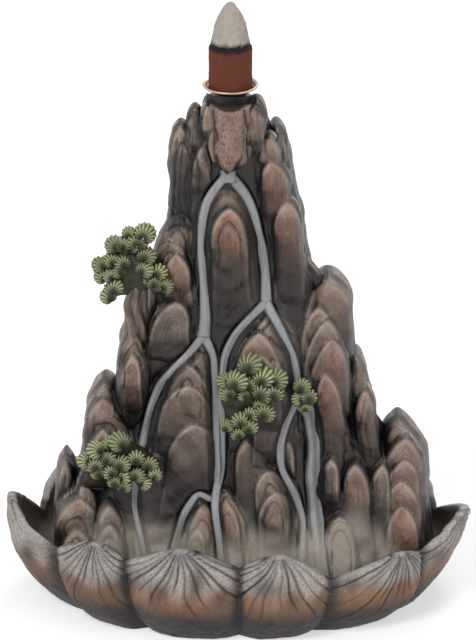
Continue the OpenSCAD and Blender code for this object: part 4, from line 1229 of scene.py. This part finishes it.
# Which rocks go into which piece: tops above UPPER_Z, and the others left or right of MIDDLE_X.
UPPER_Z, MIDDLE_X = 112, -3
front = range(len(rocks))
low = [k for k in front if ROCKS[k][1] <= UPPER_Z]
split = {
    "rocks_upper": [k for k in front if ROCKS[k][1] > UPPER_Z] + [len(rocks), len(rocks) + 1],
    "rocks_left": [k for k in low if ROCKS[k][0] < MIDDLE_X],
    "rocks_right": [k for k in low if ROCKS[k][0] >= MIDDLE_X],
    "rocks_back": range(len(rocks) + len(spout), len(carved))}
pieces = [stone_piece(name, *joined(rock_skins(carved[k] for k in some))) for name, some in split.items()]
pieces += [
    stone_piece("rocks_front", *face_skin()),
    stone_piece("pine_trunk", *joined(rock_skins([trunk_skin()]))),
    make_piece("petal_bowl", *joined([bowl_skin()]), petals),
    make_piece("smoke_streams", *joined(stream_skins()), smoke),
    make_piece("pine_needles", *joined(pine_skins()), green)]
for piece in pieces:
    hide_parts("burner_casting")

# Cup: spigot, body, flared wall, rolled rim, seat and smoke hole. Radius and height above the shelf.
HOLE_R, SPIGOT_R, SPIGOT_H = 1.6, 3.2, 4
profile = [
    (HOLE_R, -SPIGOT_H), (SPIGOT_R, -SPIGOT_H), (SPIGOT_R, 0), (CUP_R - 0.8, 0), (CUP_R - 0.5, 0.5),
    (CUP_R, 2), (CUP_R + 0.3, CUP_H), (CUP_R + 1.4, CUP_H + 0.9), (RIM_R - 0.9, RIM_H - 0.7),
    (RIM_R - 0.2, RIM_H - 0.75), (RIM_R, RIM_H - 0.35), (RIM_R - 0.15, RIM_H), (RIM_R - 0.6, RIM_H),
    (RIM_R - 1.0, RIM_H - 0.3), (CONE_R + 0.4, SEAT_Z - SHELF_H), (HOLE_R, SEAT_Z - SHELF_H)]
p, quads = turned(smooth_profile([(r, SHELF_H + z) for r, z in profile], 0.18), 128, True)
# The lip on top of the rim is coloured bright brass, the rest keeps the patina.
near_rim = ease((p[..., 2] - (SHELF_H + RIM_H - 1.1)) / 0.5)
worn = near_rim * ease((np.linalg.norm(from_axis(p), axis=-1) - CONE_R - 0.5) / 0.4)
cup = make_piece("incense_cup", p.reshape(-1, 3), quads, dict(worn=worn.ravel()), brass, "brass")
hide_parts("cone_cup")

# Cone: bore from below, straight base, rounded ash with a crumbled skin.
BORE_R, BORE_H = 1.3, 11
top_z = SEAT_Z + CONE_BASE_H
profile = [(BORE_R, SEAT_Z + BORE_H), (BORE_R, SEAT_Z), (CONE_R - 0.3, SEAT_Z), (CONE_R, SEAT_Z + 0.4),
           (CONE_R, top_z - 0.6)]
profile += [(ASH_R * (1 - t ** 1.7) ** 0.62, top_z + ASH_H * t) for t in 1 - np.linspace(1, 0.02, 30) ** 1.6]
p, quads = turned(smooth_profile(profile, 0.3), 120, False)
spin = from_axis(p)
reach = np.maximum(np.linalg.norm(spin, axis=-1), 0.01)
ash = ease((p[..., 2] - top_z) / 3)
crumbs = (0.03 + 0.07 * ash) * waves(p, 1.1, 61) + (0.03 + 0.08 * ash) * waves(p, 3.5, 62)
skin = ((reach > 1.8) & (p[..., 2] > SEAT_Z + 0.5)) * ease((reach - 1.2) / 1.5)
p = p + spin / reach[..., None] * (crumbs * skin - 0.25 * ash * skin)[..., None]
burnt = (p[..., 2] - top_z).ravel()
cone = make_piece("incense_cone_burning", p.reshape(-1, 3), quads, dict(burnt=burnt), incense, "incense")
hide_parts("incense_cone")
